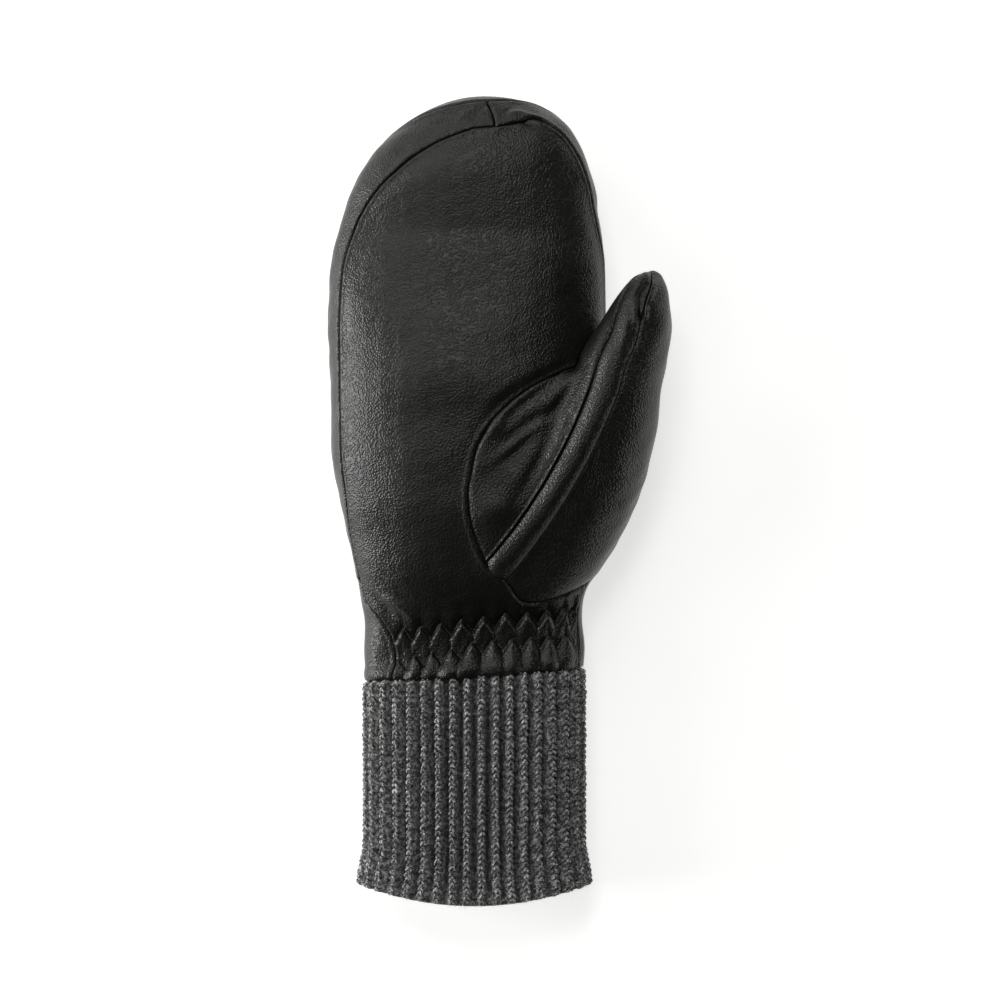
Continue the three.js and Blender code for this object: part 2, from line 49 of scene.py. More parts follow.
# Lengths are in millimetres, with x = 0 on the hand's middle line and y = 0 at the cuff.
HAND_LENGTH = 204.5
HAND_WIDTH = 97.0
PALM_THICKNESS = 47.0
LEATHER_WALL = 3.0
SEAM_GAP = 0.16
TUCK_DEPTH = 7.0
TUCK_TOP = 0.9
TUCK_SLOPE = 1.7
CUFF_WIDTH = 76.5
CUFF_THICKNESS = 34.0
CUFF_TILT = 4.7
TUCK_HALF_WIDTH = 32.65
TUCK_HALF_HEIGHT = 11.4
PALM_POWER = 2.4
BACK_POWER = 2.8
STRIP_START = 4.0
TIP_SKEW = 3.0
TIP_SKEW_TURNS = (30, 90)
TIP_SKEW_ANGLES = (44, 74)
TIP_SKEW_REACH = 25.0


def table(names, rows, runs_on=None, level=()):
    """Named columns, read between the rows along a smooth curve with no overshoot.

    The curve is level at its first and last rows. At the end that it runs on past, only the
    columns named as level are.
    """
    grid = np.array(rows, float)
    key = grid[:, 0]
    span = np.diff(key)[:, None]
    climb = np.diff(grid, axis=0) / span
    before, after = climb[:-1], climb[1:]
    product = before * after
    total = np.where(product > 0, before + after, 1.0)
    slope = np.zeros_like(grid)
    slope[1:-1] = np.where(product > 0, 2 * product / total, 0.0)
    if runs_on is not None:
        slope[runs_on] = climb[runs_on]
        slope[runs_on, [names.index(name) for name in level]] = 0

    def read(name, value):
        c = names.index(name)
        v = np.clip(value, key[0], key[-1])
        k = np.clip(np.searchsorted(key, v, side="right") - 1, 0, len(key) - 2)
        width = span[k, 0]
        s = (v - key[k]) / width
        low, high = grid[k, c], grid[k + 1, c]
        ease = s * (1 - s) ** 2 * width * slope[k, c]
        brake = s * s * (s - 1) * width * slope[k + 1, c]
        return low + (high - low) * s * s * (3 - 2 * s) + ease + brake

    read.rows = [dict(zip(names, row)) for row in rows]
    read.names = names
    return read


# The hand's sections from the cuff to the spine's end. along is a share of that stretch;
# spine, left, right and the palm seam's setbacks are shares of the hand's width; top, level
# and under are shares of the palm's thickness; backLeft and backRight are seam angles.
sections = table(
    ["along", "spine", "left", "right", "top", "level", "under",
     "palmLeft", "palmRight", "backLeft", "backRight", "lean"],
    [
        [0.022, 0.025, 0.390, 0.397, 0.700, 0.360, 0.005, 0.097, 0.020, 0, 0, 1],
        [0.066, 0.025, 0.379, 0.395, 0.665, 0.360, 0.010, 0.101, 0.020, 0, 0, 1.9],
        [0.110, 0.025, 0.386, 0.393, 0.670, 0.360, 0.010, 0.095, 0.020, 0, 0, 1.9],
        [0.154, 0.022, 0.393, 0.401, 0.715, 0.370, 0.000, 0.066, 0.018, 0, 0, 1.6],
        [0.194, 0.022, 0.402, 0.417, 0.780, 0.390, -0.010, 0.017, 0.012, 0, 0, 1],
        [0.238, 0.018, 0.413, 0.458, 0.850, 0.415, -0.017, 0.010, 0.006, 88, 0, 0.5],
        [0.297, 0.014, 0.433, 0.478, 0.910, 0.440, -0.022, 0.011, 0.003, 106, 0, 0.15],
        [0.396, 0.007, 0.462, 0.491, 0.980, 0.460, -0.026, 0.025, 0.002, 119, 0, 0],
        [0.507, 0.007, 0.494, 0.493, 1.000, 0.465, -0.026, 0.038, 0.002, 123, 96, 0],
        [0.617, 0.007, 0.496, 0.494, 1.000, 0.470, -0.026, 0.036, 0.002, 124, 112, 0],
        [0.749, 0.007, 0.505, 0.494, 0.985, 0.475, -0.026, 0.043, 0.002, 124, 119, 0],
        [0.859, 0.022, 0.518, 0.478, 0.955, 0.480, -0.026, 0.047, 0.003, 122, 119, 0],
        [0.936, 0.047, 0.531, 0.449, 0.920, 0.490, -0.024, 0.053, 0.007, 120, 118, 0],
        [1.000, 0.072, 0.529, 0.411, 0.885, 0.500, -0.021, 0.063, 0.015, 117, 116, 0],
    ],
    runs_on=-1,
    level=("top", "under"),
)

# The fan of sections over the finger tips, turning from level to straight ahead.
fan = table(
    ["turn", "left", "right", "level", "palmLeft", "palmRight", "backLeft", "backRight"],
    [
        [0, 0.529, 0.411, 0.500, 0.063, 0.015, 117, 116],
        [8, 0.511, 0.4065, 0.501, 0.072, 0.018, 113, 113],
        [18, 0.499, 0.414, 0.503, 0.090, 0.022, 108, 110],
        [36, 0.481, 0.437, 0.508, 0.114, 0.028, 97, 104],
        [54, 0.469, 0.469, 0.515, 0.118, 0.047, 80, 94],
        [66, 0.469, 0.473, 0.520, 0.121, 0.058, 73, 85],
        [78, 0.469, 0.469, 0.525, 0.118, 0.094, 70, 76],
        [90, 0.469, 0.469, 0.527, 0.119, 0.119, 70, 70],
    ],
    runs_on=0,
)
SPINE_END = HAND_LENGTH - fan.rows[-1]["left"] * HAND_WIDTH
WRIST = sections.rows[0]
CUFF_CENTRE = (WRIST["spine"] + (WRIST["right"] - WRIST["left"]) / 2) * HAND_WIDTH

# The shapes below are worked out around the hand's middle line and set into the frame by the
# places of two of its nodes: the cuff's middle and the finger tips.
cuff_low, cuff_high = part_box("knit_cuff")
tip_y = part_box("back_panel")[1].y
PLACE = np.array([(cuff_low.x + cuff_high.x) * 500 - CUFF_CENTRE, tip_y * 1000 - HAND_LENGTH, 0])


def smoothstep(value, low, high):
    """0 below low, 1 above high, and an even curve between them."""
    s = np.clip((value - low) / (high - low), 0, 1)
    return s * s * (3 - 2 * s)


def hand_rows(y, turn):
    """The hand's sections at heights y above the cuff and turns over the finger tips."""
    along = np.clip(y / SPINE_END, 0, 1)

    def read(name):
        level = sections(name, along)
        return np.where(turn > 0, fan(name, turn), level) if name in fan.names else level

    rows = {name: read(name) * HAND_WIDTH for name in ("spine", "left", "right")}
    rows.update({name: read(name) * PALM_THICKNESS for name in ("top", "level", "under")})
    rows["lean"] = read("lean") * CUFF_TILT / CUFF_WIDTH
    for side, name in (("left", "Left"), ("right", "Right")):
        share = 1 - read("palm" + name) * HAND_WIDTH / rows[side]
        rows["palm_" + side] = np.degrees(np.arcsin(share ** (PALM_POWER / 2)))
        back = read("back" + name)
        wide = back > rows["palm_" + side] + STRIP_START
        rows["back_" + side] = np.where(wide, back, rows["palm_" + side])
    tuck = {
        "spine": CUFF_CENTRE,
        "left": TUCK_HALF_WIDTH,
        "right": TUCK_HALF_WIDTH,
        "top": CUFF_THICKNESS / 2 + TUCK_HALF_HEIGHT,
        "level": CUFF_THICKNESS / 2,
        "under": CUFF_THICKNESS / 2 - TUCK_HALF_HEIGHT,
    }
    out = smoothstep(y, TUCK_TOP, TUCK_TOP + TUCK_SLOPE)
    for name, value in tuck.items():
        rows[name] = value + (rows[name] - value) * out
    rows["y"] = np.minimum(y, SPINE_END)
    rows["turn"] = turn
    return {name: np.asarray(value, float)[:, None] for name, value in rows.items()}


def hand_point(rows, angle, inset=0.0):
    """A point of the hand. The angle is 0 on the palm's spine, below it on the left."""
    a = np.radians(np.abs(angle))
    on_left = angle < 0
    palm_side = np.abs(angle) <= 90
    power = np.where(palm_side, PALM_POWER, BACK_POWER)
    out = (np.where(on_left, rows["left"], rows["right"]) - inset) * np.sin(a) ** (2 / power)
    rise = np.abs(np.cos(a)) ** (2 / power)
    above = rows["top"] - rows["level"] - inset
    below = rows["under"] - rows["level"] + inset
    z = rows["level"] + np.where(palm_side, above, below) * rise
    turn = np.radians(rows["turn"])
    x = rows["spine"] + np.where(on_left, -1, 1) * out * np.cos(turn)
    skew = smoothstep(rows["turn"], *TIP_SKEW_TURNS) * smoothstep(out, 0, TIP_SKEW_REACH)
    x = x + TIP_SKEW * skew * (1 - smoothstep(np.abs(angle), *TIP_SKEW_ANGLES))
    y = rows["y"] + out * np.sin(turn) + rows["lean"] * (x - CUFF_CENTRE)
    return np.stack([x, y, np.maximum(z, inset)], -1)


# For the spacing of a mesh's points: the finger tips' rough radius, the rows' step in the
# cuff, and how far from a seam the last points lie, in the zone that plain steps leave free.
TIP_RADIUS = 45.0
TUCK_STEP = 1.5
BESIDE_SEAM = np.array([3.6, 3.0, 2.5, 2.05, 1.65, 1.3, 1.0, 0.75, 0.55, 0.37, 0.2, 0.08])
SEAM_ZONE = 4.2


def run(start, end, step):
    """Even steps of about the given length from start to end, the end left out."""
    return np.linspace(start, end, max(int(round((end - start) / step)), 1), endpoint=False)


def stations(fine, plain):
    """Rows of the hand, close at the gathered wrist and further apart above it."""
    heights = np.concatenate([
        run(-TUCK_DEPTH, TUCK_TOP, TUCK_STEP), run(TUCK_TOP, GATHER_TOP + 3, fine),
        run(GATHER_TOP + 3, SPINE_END, plain),
    ])
    turns = np.append(run(0, 90, math.degrees(plain / TIP_RADIUS)), 90)
    y = np.concatenate([heights, np.full(len(turns), SPINE_END)])
    return hand_rows(y, np.concatenate([np.zeros(len(heights)), turns]))


def half_shares(step, width):
    """Shares of half a panel's width from its middle to its seam, closer beside the seam."""
    return np.concatenate([run(0, 1 - SEAM_ZONE / width, step / width), 1 - BESIDE_SEAM / width])


def arcs(points):
    """Distance along each row of points from its first one."""
    length = np.linalg.norm(np.diff(points, axis=1), axis=-1)
    return np.concatenate([np.zeros((len(points), 1)), np.cumsum(length, axis=1)], axis=1)


def even_angles(rows, start, end, shares):
    """Angles at the given shares of the arc from start to end, on each of the rows."""
    angle = start + (end - start) * np.linspace(0, 1, 121)[None, :]
    arc = arcs(hand_point(rows, angle))
    return np.array([np.interp(shares * a[-1], a, g) for a, g in zip(arc, angle)])


def normals(points, spare):
    """Unit normals of a grid of points, and the spare one where rows meet in a point."""
    along = np.gradient(points, axis=0)
    across = np.gradient(points, axis=1)
    normal = np.cross(across, along)
    size = np.linalg.norm(normal, axis=-1, keepdims=True)
    return np.where(size > 1e-5, normal / np.maximum(size, 1e-9), np.array(spare, float))


def wide_panel(rows, middle, left_seam, right_seam, half):
    """Angles, points and normals of a panel, from its middle line out to both its seams."""
    left = even_angles(rows, -middle, -left_seam, half)
    right = even_angles(rows, middle, right_seam, half)
    angle = np.concatenate([left[:, ::-1], right[:, 1:]], axis=1)
    base = hand_point(rows, angle)
    way = 1 if middle < 90 else -1
    facing = way * normals(base, (0, 0, 1))
    facing[-1] = (facing[-1] + facing[-1, ::-1]) / 2
    facing[rows["y"][:, 0] >= SPINE_END, len(half) - 1] = (0, 0, way)
    return angle, base, facing


# A seam's edge is turned in with a small radius and stands a little proud beside it.
SEAM_RADIUS = 0.5
SEAM_RIDGE = 0.3
SEAM_RIDGE_AT = 1.1
SEAM_RIDGE_WIDTH = 0.6


def seam_relief(distance, radius=SEAM_RADIUS, ridge=SEAM_RIDGE):
    """Height of the leather at a distance from its seam, against the flat panel."""
    d = np.clip(distance, 0, radius)
    turned = np.sqrt(np.maximum(radius**2 - (radius - d) ** 2, 0)) - radius
    return turned + ridge * np.exp(-(((distance - SEAM_RIDGE_AT) / SEAM_RIDGE_WIDTH) ** 2))


def bumps(points, places):
    """Soft swells and dents at named places: x, y, half sizes, turn in degrees, height."""
    relief = np.zeros(points.shape[:-1])
    for x, y, long, wide, turn, height in places:
        a = math.radians(turn)
        dx, dy = points[..., 0] - x, points[..., 1] - y
        u = (dx * math.cos(a) + dy * math.sin(a)) / long
        v = (dy * math.cos(a) - dx * math.sin(a)) / wide
        relief += height * np.exp(-(u * u + v * v))
    return relief


def folds(points, lines):
    """Folds along polylines: each has its points, half width and height, and fades out."""
    relief = np.zeros(points.shape[:-1])
    for route, half, height in lines:
        nodes = np.array(route, float)
        lengths = np.linalg.norm(np.diff(nodes, axis=0), axis=1)
        starts = np.concatenate([[0], np.cumsum(lengths)])
        best = np.full(relief.shape, 1e9)
        place = np.zeros(relief.shape)
        for a, b, length, start in zip(nodes, nodes[1:], lengths, starts):
            way = (b - a) / length
            dx, dy = points[..., 0] - a[0], points[..., 1] - a[1]
            s = np.clip(dx * way[0] + dy * way[1], 0, length)
            d = np.hypot(dx - s * way[0], dy - s * way[1])
            place = np.where(d < best, (start + s) / starts[-1], place)
            best = np.minimum(best, d)
        fade = np.sin(np.pi * np.clip(place, 0.02, 0.98)) ** 0.6
        relief += height * np.exp(-((best / half) ** 2)) * fade
    return relief


def waves(points, size, seed):
    """Smooth unevenness of about unit height: waves of one size from seeded directions."""
    random = np.random.default_rng(seed)
    relief = np.zeros(points.shape[:-1])
    for _ in range(9):
        way = random.normal(size=3)
        way *= random.uniform(0.6, 1.4) * 2 * math.pi / size / np.linalg.norm(way)
        relief += np.sin(points @ way + random.uniform(0, 2 * math.pi))
    return relief / 3


# The seam that lets the thumb into the palm, from the crotch to the side of the wrist, and the
# hidden rest of the thumb's root, as shares of the hand's width, the stretch to the spine's
# end and the palm's thickness.
thumb_seam = table(
    ["across", "along"],
    [
        [0.390, 0.684], [0.314, 0.665], [0.198, 0.626], [0.105, 0.575], [0.043, 0.520],
        [0.013, 0.449], [0.005, 0.412], [0.018, 0.339], [0.072, 0.260], [0.141, 0.220],
        [0.202, 0.174], [0.267, 0.175], [0.339, 0.188], [0.428, 0.214], [0.476, 0.238],
    ],
)
thumb_root = table(
    ["across", "along", "height"],
    [[0.470, 0.240, 0.40], [0.405, 0.410, 0.28], [0.430, 0.590, 0.38], [0.452, 0.672, 0.62]],
)
GUSSET_STAND = 0.6
GUSSET_END = 8
STRIP_END = 9
ROOT_HIDDEN = 3.9
ROOT_HIDDEN_SPAN = 0.7
ROOT_TURN = 3.0


def palm_height(across, along):
    """Height of the palm over a place given as in the thumb's seam."""
    rows = hand_rows(np.array([along * SPINE_END]), np.zeros(1))
    aside = across * HAND_WIDTH - rows["spine"][0, 0]
    reach = rows["left" if aside < 0 else "right"][0, 0]
    rise = (1 - min(abs(aside) / reach, 1) ** PALM_POWER) ** (1 / PALM_POWER)
    return rows["level"][0, 0] + (rows["top"][0, 0] - rows["level"][0, 0]) * rise


def closed_curve(nodes):
    """A centripetal curve through a closed loop of points, read by shares of the loop."""
    count = len(nodes)

    def read(share):
        place = np.asarray(share, float) % 1 * count
        k = np.floor(place).astype(int)
        s = (place - k)[..., None]
        p = [nodes[(k + step) % count] for step in (-1, 0, 1, 2)]
        gap = [np.linalg.norm(b - a, axis=-1, keepdims=True) ** 0.5 for a, b in zip(p, p[1:])]
        start = (p[1] - p[0]) / gap[0] - (p[2] - p[0]) / (gap[0] + gap[1])
        start = (start + (p[2] - p[1]) / gap[1]) * gap[1]
        end = (p[2] - p[1]) / gap[1] - (p[3] - p[1]) / (gap[1] + gap[2])
        end = (end + (p[3] - p[2]) / gap[2]) * gap[1]
        square = 3 * (p[2] - p[1]) - 2 * start - end
        cube = start + end - 2 * (p[2] - p[1])
        return p[1] + start * s + square * s**2 + cube * s**3

    return read


root_loop = np.array([
    [p["across"] * HAND_WIDTH, p["along"] * SPINE_END,
     palm_height(p["across"], p["along"]) + GUSSET_STAND] for p in thumb_seam.rows
] + [
    [p["across"] * HAND_WIDTH, p["along"] * SPINE_END, p["height"] * PALM_THICKNESS]
    for p in thumb_root.rows
])
root_curve = closed_curve(root_loop)
root_middle = (root_loop.min(axis=0) + root_loop.max(axis=0)) / 2
SEAM_ROWS = len(thumb_seam.rows)
ROOT_MARKS = np.array([0, GUSSET_END, STRIP_END, SEAM_ROWS - 1, SEAM_ROWS + 2, len(root_loop)])


def root_point(s, inset, sink):
    """A point of the thumb's root at place s around it, sunk under the palm where it shows."""
    point = root_curve(np.interp(s, np.arange(6), ROOT_MARKS) / len(root_loop))
    inward = (root_middle - point) * [1, 1, 0]
    point = point + inward / np.linalg.norm(inward, axis=-1, keepdims=True) * inset
    on_palm = np.clip((np.abs(s - ROOT_HIDDEN) - ROOT_HIDDEN_SPAN) * ROOT_TURN, -1, 1)
    point[..., 2] -= np.where(on_palm > 0, (inset + sink) * on_palm, inset * on_palm)
    return point


def loop_distance(points, loop):
    """Signed distance in plan from points to a closed loop, below zero inside it."""
    best = np.full(points.shape[:-1], 1e9)
    inside = np.zeros(points.shape[:-1], bool)
    x, y = points[..., 0], points[..., 1]
    for a, b in zip(loop, np.roll(loop, -1, axis=0)):
        way = (b - a)[:2]
        s = np.clip(((x - a[0]) * way[0] + (y - a[1]) * way[1]) / (way @ way), 0, 1)
        best = np.minimum(best, np.hypot(x - a[0] - s * way[0], y - a[1] - s * way[1]))
        if a[1] != b[1]:
            crosses = (a[1] > y) != (b[1] > y)
            inside ^= crosses & (x < a[0] + (y - a[1]) * way[0] / (b[1] - a[1]))
    return np.where(inside, -best, best)


def coarse(grid, step):
    """The grid with its points drawn together in squares, alike on both sides of its middle."""
    last, half = grid.shape[0] - 1, grid.shape[1] // 2
    rows = np.minimum((np.arange(last + 1) + step // 2) // step * step, last)
    aside = np.arange(-half, half + 1)
    columns = np.minimum((np.abs(aside) + step // 2) // step * step, half)
    return grid[rows][:, half + np.sign(aside) * columns]


def quads(a, b, c, d):
    """Faces from the grids of their four corners."""
    return np.stack([g.ravel() for g in (a, b, c, d)], axis=1)


def grid_faces(index):
    """Faces between the neighbours in a grid of point numbers."""
    return quads(index[:-1, :-1], index[:-1, 1:], index[1:, 1:], index[1:, :-1])


def shell(name, outer, inner, folded=False):
    """A closed sheet with thickness from the grids of its outer and inner faces."""
    rows, columns = outer.shape[:2]
    index = np.arange(rows * columns).reshape(rows, columns)
    under = index + rows * columns
    faces = [
        grid_faces(index),
        quads(under[:-1, :-1], under[1:, :-1], under[1:, 1:], under[:-1, 1:]),
        quads(index[:-1, 0], index[1:, 0], under[1:, 0], under[:-1, 0]),
        quads(index[:-1, -1], under[:-1, -1], under[1:, -1], index[1:, -1]),
        quads(index[0, :-1], under[0, :-1], under[0, 1:], index[0, 1:]),
    ]
    if not folded:
        faces.append(quads(index[-1, :-1], index[-1, 1:], under[-1, 1:], under[-1, :-1]))
    points = np.concatenate([outer.reshape(-1, 3), inner.reshape(-1, 3)])
    return solid(name, points, np.concatenate(faces))


def add_object(name, data):
    """A new object with its data, linked into the scene."""
    made = bpy.data.objects.new(name, data)
    bpy.context.scene.collection.objects.link(made)
    return made


def solid(name, points, faces, depth=None):
    """Welds a closed mesh, drops its empty faces and sets it into the frame, in metres.

    Where each point has a depth in the knit's furrows, the mesh keeps it for the painted shade.
    """
    _, first, index = np.unique(
        np.round(points, 4), axis=0, return_index=True, return_inverse=True)
    faces = index.reshape(-1)[faces]
    kept = []
    for face in faces:
        corners = [v for k, v in enumerate(face) if v != face[k - 1]]
        if len(corners) > 2 and len(set(corners)) == len(corners):
            kept.append(corners)
    mesh = bpy.data.meshes.new(name)
    mesh.from_pydata(((points[first] + PLACE) / 1000).tolist(), [], kept)
    mesh.update()
    if depth is not None:
        # The furrow depth that the wool's painted shade reads.
        mesh.attributes.new("furrow", "FLOAT", "POINT").data.foreach_set("value", depth[first])
    mesh.shade_smooth()
    return add_object(name, mesh)


def cut_away(piece, cutter):
    """Cuts one closed piece by another, which is then removed."""
    modifier = piece.modifiers.new("cut", "BOOLEAN")
    modifier.operation = "DIFFERENCE"
    modifier.solver = "MANIFOLD"
    modifier.object = cutter
    graph = bpy.context.evaluated_depsgraph_get()
    mesh = bpy.data.meshes.new_from_object(piece.evaluated_get(graph))
    piece.modifiers.clear()
    piece.data = mesh
    mesh.shade_smooth()
    bpy.data.objects.remove(cutter)
    return piece


# The shirring: below each elastic thread the leather stands out in pointed leaves, each row
# set half a leaf aside, and the smooth palm sinks in above their zigzag edge. The leaves' tips:
GATHER_TIPS = [
    [[-22.2, 18.2], [-15.9, 19.1], [-9.1, 20.0], [-1.6, 21.4], [6.1, 22.4], [13.7, 23.5],
     [21.4, 23.8], [28.4, 24.5], [34.3, 25.6], [37.6, 24.2]],
    [[-23.8, 8.4], [-17.7, 9.5], [-11.9, 10.7], [-5.3, 11.4], [2.1, 14.0], [9.5, 14.9],
     [16.1, 15.1], [22.6, 15.6], [28.7, 15.9], [34.5, 16.1]],
]
GATHER_TOP = 25.6
GATHER_POINT = 5.0
GATHER_LIFT = 2.2
GATHER_LENGTH = [9.5, 22.0]
GATHER_SINK = [1.3, 0.5]
GATHER_SLANT = 0.42
GATHER_SWELLS = [
    # x, y, half sizes, turn, height
    [-3.0, 3.2, 5.5, 2.2, 8, 1.1],
    [4.6, 4.4, 2.6, 2.6, 0, 0.7],
    [29.5, 6.2, 4.2, 2.4, -25, 0.9],
    [37.0, 9.0, 2.0, 4.0, 0, 0.6],
    [15.5, 5.0, 4.5, 2.2, 10, 0.4],
]


def gather_relief(points):
    """Height of the shirred leather over the palm's plain surface."""
    x, y = points[..., 0], points[..., 1]
    relief = np.zeros(x.shape)
    random = np.random.default_rng(23)
    for row, tips in enumerate(GATHER_TIPS):
        tips = np.array(tips)
        tips = np.concatenate([[2 * tips[0] - tips[1]], tips, [2 * tips[-1] - tips[-2]]])
        count = np.arange(len(tips))
        full = random.uniform(0.6, 1.15, len(tips))
        lean = random.uniform(-0.6, 0.5, len(tips))
        peak = np.interp(x, tips[:, 0], tips[:, 1])
        slant = GATHER_SLANT * (1 - smoothstep(x, -10, 14)) * row
        along = x + slant * np.maximum(peak - GATHER_POINT - y, 0)
        place = np.interp(along, tips[:, 0], count)
        leaf = np.round(place).astype(int)
        aside = np.abs(place - leaf) * 2
        edge = np.interp(along, tips[:, 0], tips[:, 1]) - GATHER_POINT * aside**1.1
        down = edge - y
        crown = 1 - 0.75 * aside**1.15 + lean[leaf] * (place - leaf)
        fall = 1 - 0.85 * smoothstep(down, 0.6, GATHER_LENGTH[row])
        swell = 1 - np.exp(-np.maximum(down, 0) / 0.6)
        height = GATHER_LIFT * full[leaf] * crown * fall * swell
        sink = GATHER_SINK[row] * np.exp(np.minimum(down, 0) / (3.0 - 1.8 * row))
        below = 1 - smoothstep(down, 0, 0.6)
        relief = np.where(down > 0, height, relief) - sink * below
    return relief + bumps(points, GATHER_SWELLS)


PALM_STEP = 0.65
GATHER_STEP = 0.36
PALM_SPAN = 50
PALM_SWELLS = [
    # x, y, half sizes, turn, height
    [2, 105, 34, 13, -6, 1.9],
    [-4, 146, 32, 15, 0, -1.1],
    [-2, 179, 28, 9, 4, 1.3],
    [-22, 84, 13, 24, 4, 0.7],
    [-30, 60, 8, 24, 0, -0.5],
    [4, 40, 22, 10, 0, -0.9],
]
PALM_FOLDS = [
    # route, half width, height
    [[[-30, 30], [-23, 26.5], [-17, 20.5]], 1.6, 0.9],
    [[[-33, 31], [-28, 25], [-24, 20]], 1.3, -0.6],
    [[[42, 31], [38.5, 27.5], [39.5, 22]], 1.1, 0.7],
    [[[40, 26.5], [36.8, 24], [37.6, 19]], 0.8, -0.6],
    [[[14, 194.2], [18.5, 195.6], [24, 193.5]], 1.4, -1.3],
    [[[4, 190.5], [8, 190.2], [12, 191.2]], 1.2, 0.5],
]
PALM_SWAY = 0.25
PALM_SWAY_SIZE = 26
PALM_RIPPLE = 0.05
PALM_RIPPLE_SIZE = 7
TIP_PUCKER = 0.3
TIP_PUCKER_PITCH = 3.6
TIP_PUCKER_REACH = 1.7
ROOT_SEAM_RADIUS = 0.6
ROOT_SEAM_RIDGE = 0.45


def palm_faces():
    """The palm's outer and inner faces, as grids of points."""
    rows = stations(GATHER_STEP, PALM_STEP)
    half = half_shares(PALM_STEP, PALM_SPAN)
    angle, base, facing = wide_panel(rows, 0, rows["palm_left"], rows["palm_right"], half)
    arc = arcs(base)
    edge = np.minimum(arc, arc[:, -1:] - arc)
    root = root_curve(np.linspace(0, 1, 160, endpoint=False))
    near = loop_distance(base, root)
    flat = smoothstep(edge, 1, 7) * smoothstep(near, 0, 6)
    relief = (bumps(base, PALM_SWELLS) + PALM_SWAY * waves(base, PALM_SWAY_SIZE, 3)) * flat
    relief += folds(base, PALM_FOLDS) + PALM_RIPPLE * waves(base, PALM_RIPPLE_SIZE, 5) * flat
    relief += gather_relief(base) * smoothstep(edge, 0.2, 1.6) * smoothstep(rows["y"], 1, 2.6)
    x = base[..., 0]
    uneven = np.cos((x + 1.3 * np.sin(x * 0.9)) * 2 * math.pi / TIP_PUCKER_PITCH)
    pucker = uneven * np.sin(x * 0.37 + 1) ** 2 * np.exp(-edge / TIP_PUCKER_REACH)
    relief += TIP_PUCKER * pucker * smoothstep(rows["turn"], 58, 80)
    relief += seam_relief(edge)
    relief += seam_relief(near, ROOT_SEAM_RADIUS, ROOT_SEAM_RIDGE)
    outer = base + facing * relief[..., None]
    return outer, coarse(hand_point(rows, angle, LEATHER_WALL), 4)


# The thumb: sections of its free length, and its size. Its form is needed here because the
# palm, the back and the inner strip are cut open round its root.
THUMB_LENGTH = 40.0
THUMB_WIDTH = 31.5
THUMB_DEPTH = 28.0
THUMB_HEIGHT = 38.0
THUMB_BOW = 3.8
THUMB_BOW_HEADING = 120.0
THUMB_HEEL_BOW = 0.25
GUSSET_PUFF = 2.5
GUSSET_FOLD = 1.8
GUSSET_FOLD_AT = 0.72
GUSSET_FOLD_WIDTH = 0.13
THUMB_ACROSS = 0.545
THUMB_ALONG = 0.656
THUMB_BACK_SEAM = 230
THUMB_TIP_RADIUS = 0.05
THUMB_TIP_DOME = 1.0
THUMB_CUT_SINK = 9.0
THUMB_SMOOTHING = 12
GUSSET_ROWS = 56
THUMB_ROWS = 46
thumb_sections = table(
    ["ahead", "aside", "wide", "deep", "high", "heading", "inner", "outer"],
    [
        [0.000, 0.000, 0.500, 0.500, 1.000, 21, -33, 4],
        [0.358, 0.131, 0.422, 0.430, 1.020, 25, -38, 4],
        [0.585, 0.218, 0.356, 0.370, 1.025, 28, -56, -4],
        [0.795, 0.271, 0.245, 0.265, 1.015, 28, -62, 0],
        [0.895, 0.312, 0.170, 0.170, 1.005, 22, -62, -6],
        [0.937, 0.320, 0.080, 0.070, 1.000, 18, -72, -38],
    ],
)
THUMB_TIP = thumb_sections.rows[-1]["ahead"]


def thumb_point(ahead, s, inset):
    """A point of the free thumb, a share of its length ahead of the crotch."""
    row = {name: float(thumb_sections(name, ahead)) for name in thumb_sections.names}
    back = 1 - inset / (THUMB_TIP * THUMB_LENGTH)
    marks = [-90, row["inner"], row["outer"], 90, THUMB_BACK_SEAM, 270]
    angle = np.radians(np.interp(s, np.arange(6), marks))
    heading = math.radians(row["heading"])
    wide = max(row["wide"] * THUMB_WIDTH - inset, THUMB_TIP_RADIUS) * np.sin(angle)
    deep = max(row["deep"] * THUMB_DEPTH - inset, THUMB_TIP_RADIUS) * np.cos(angle)
    x = THUMB_ACROSS * HAND_WIDTH + row["aside"] * back * THUMB_LENGTH
    y = THUMB_ALONG * SPINE_END + ahead * back * THUMB_LENGTH
    return np.stack([
        x + wide * math.cos(heading), y - wide * math.sin(heading),
        row["high"] * THUMB_HEIGHT + deep,
    ], axis=-1)


def gusset_point(share, s, inset):
    """A point between the thumb's root and its crotch, bowed outwards and puffed on top."""
    point = root_point(s, inset, 0)
    point = point + (thumb_point(0, s, inset) - point) * share
    middle = 4 * share * (1 - share)
    heel = 1 + THUMB_HEEL_BOW * smoothstep(s, 2, 3)
    outward = heel * np.where(s < 1, smoothstep(s, 0, 1), 1 - smoothstep(s, 3, 5))
    point[..., 0] += THUMB_BOW * math.sin(math.radians(THUMB_BOW_HEADING)) * middle * outward
    point[..., 1] += THUMB_BOW * math.cos(math.radians(THUMB_BOW_HEADING)) * middle * outward
    point[..., 2] += GUSSET_PUFF * middle * np.where(s < 3, np.sin(math.pi * s / 3), 0)
    crease = np.exp(-(((s - GUSSET_FOLD_AT) / GUSSET_FOLD_WIDTH) ** 2))
    point[..., 2] -= GUSSET_FOLD * middle * np.where(s < 1, crease, 0)
    return point


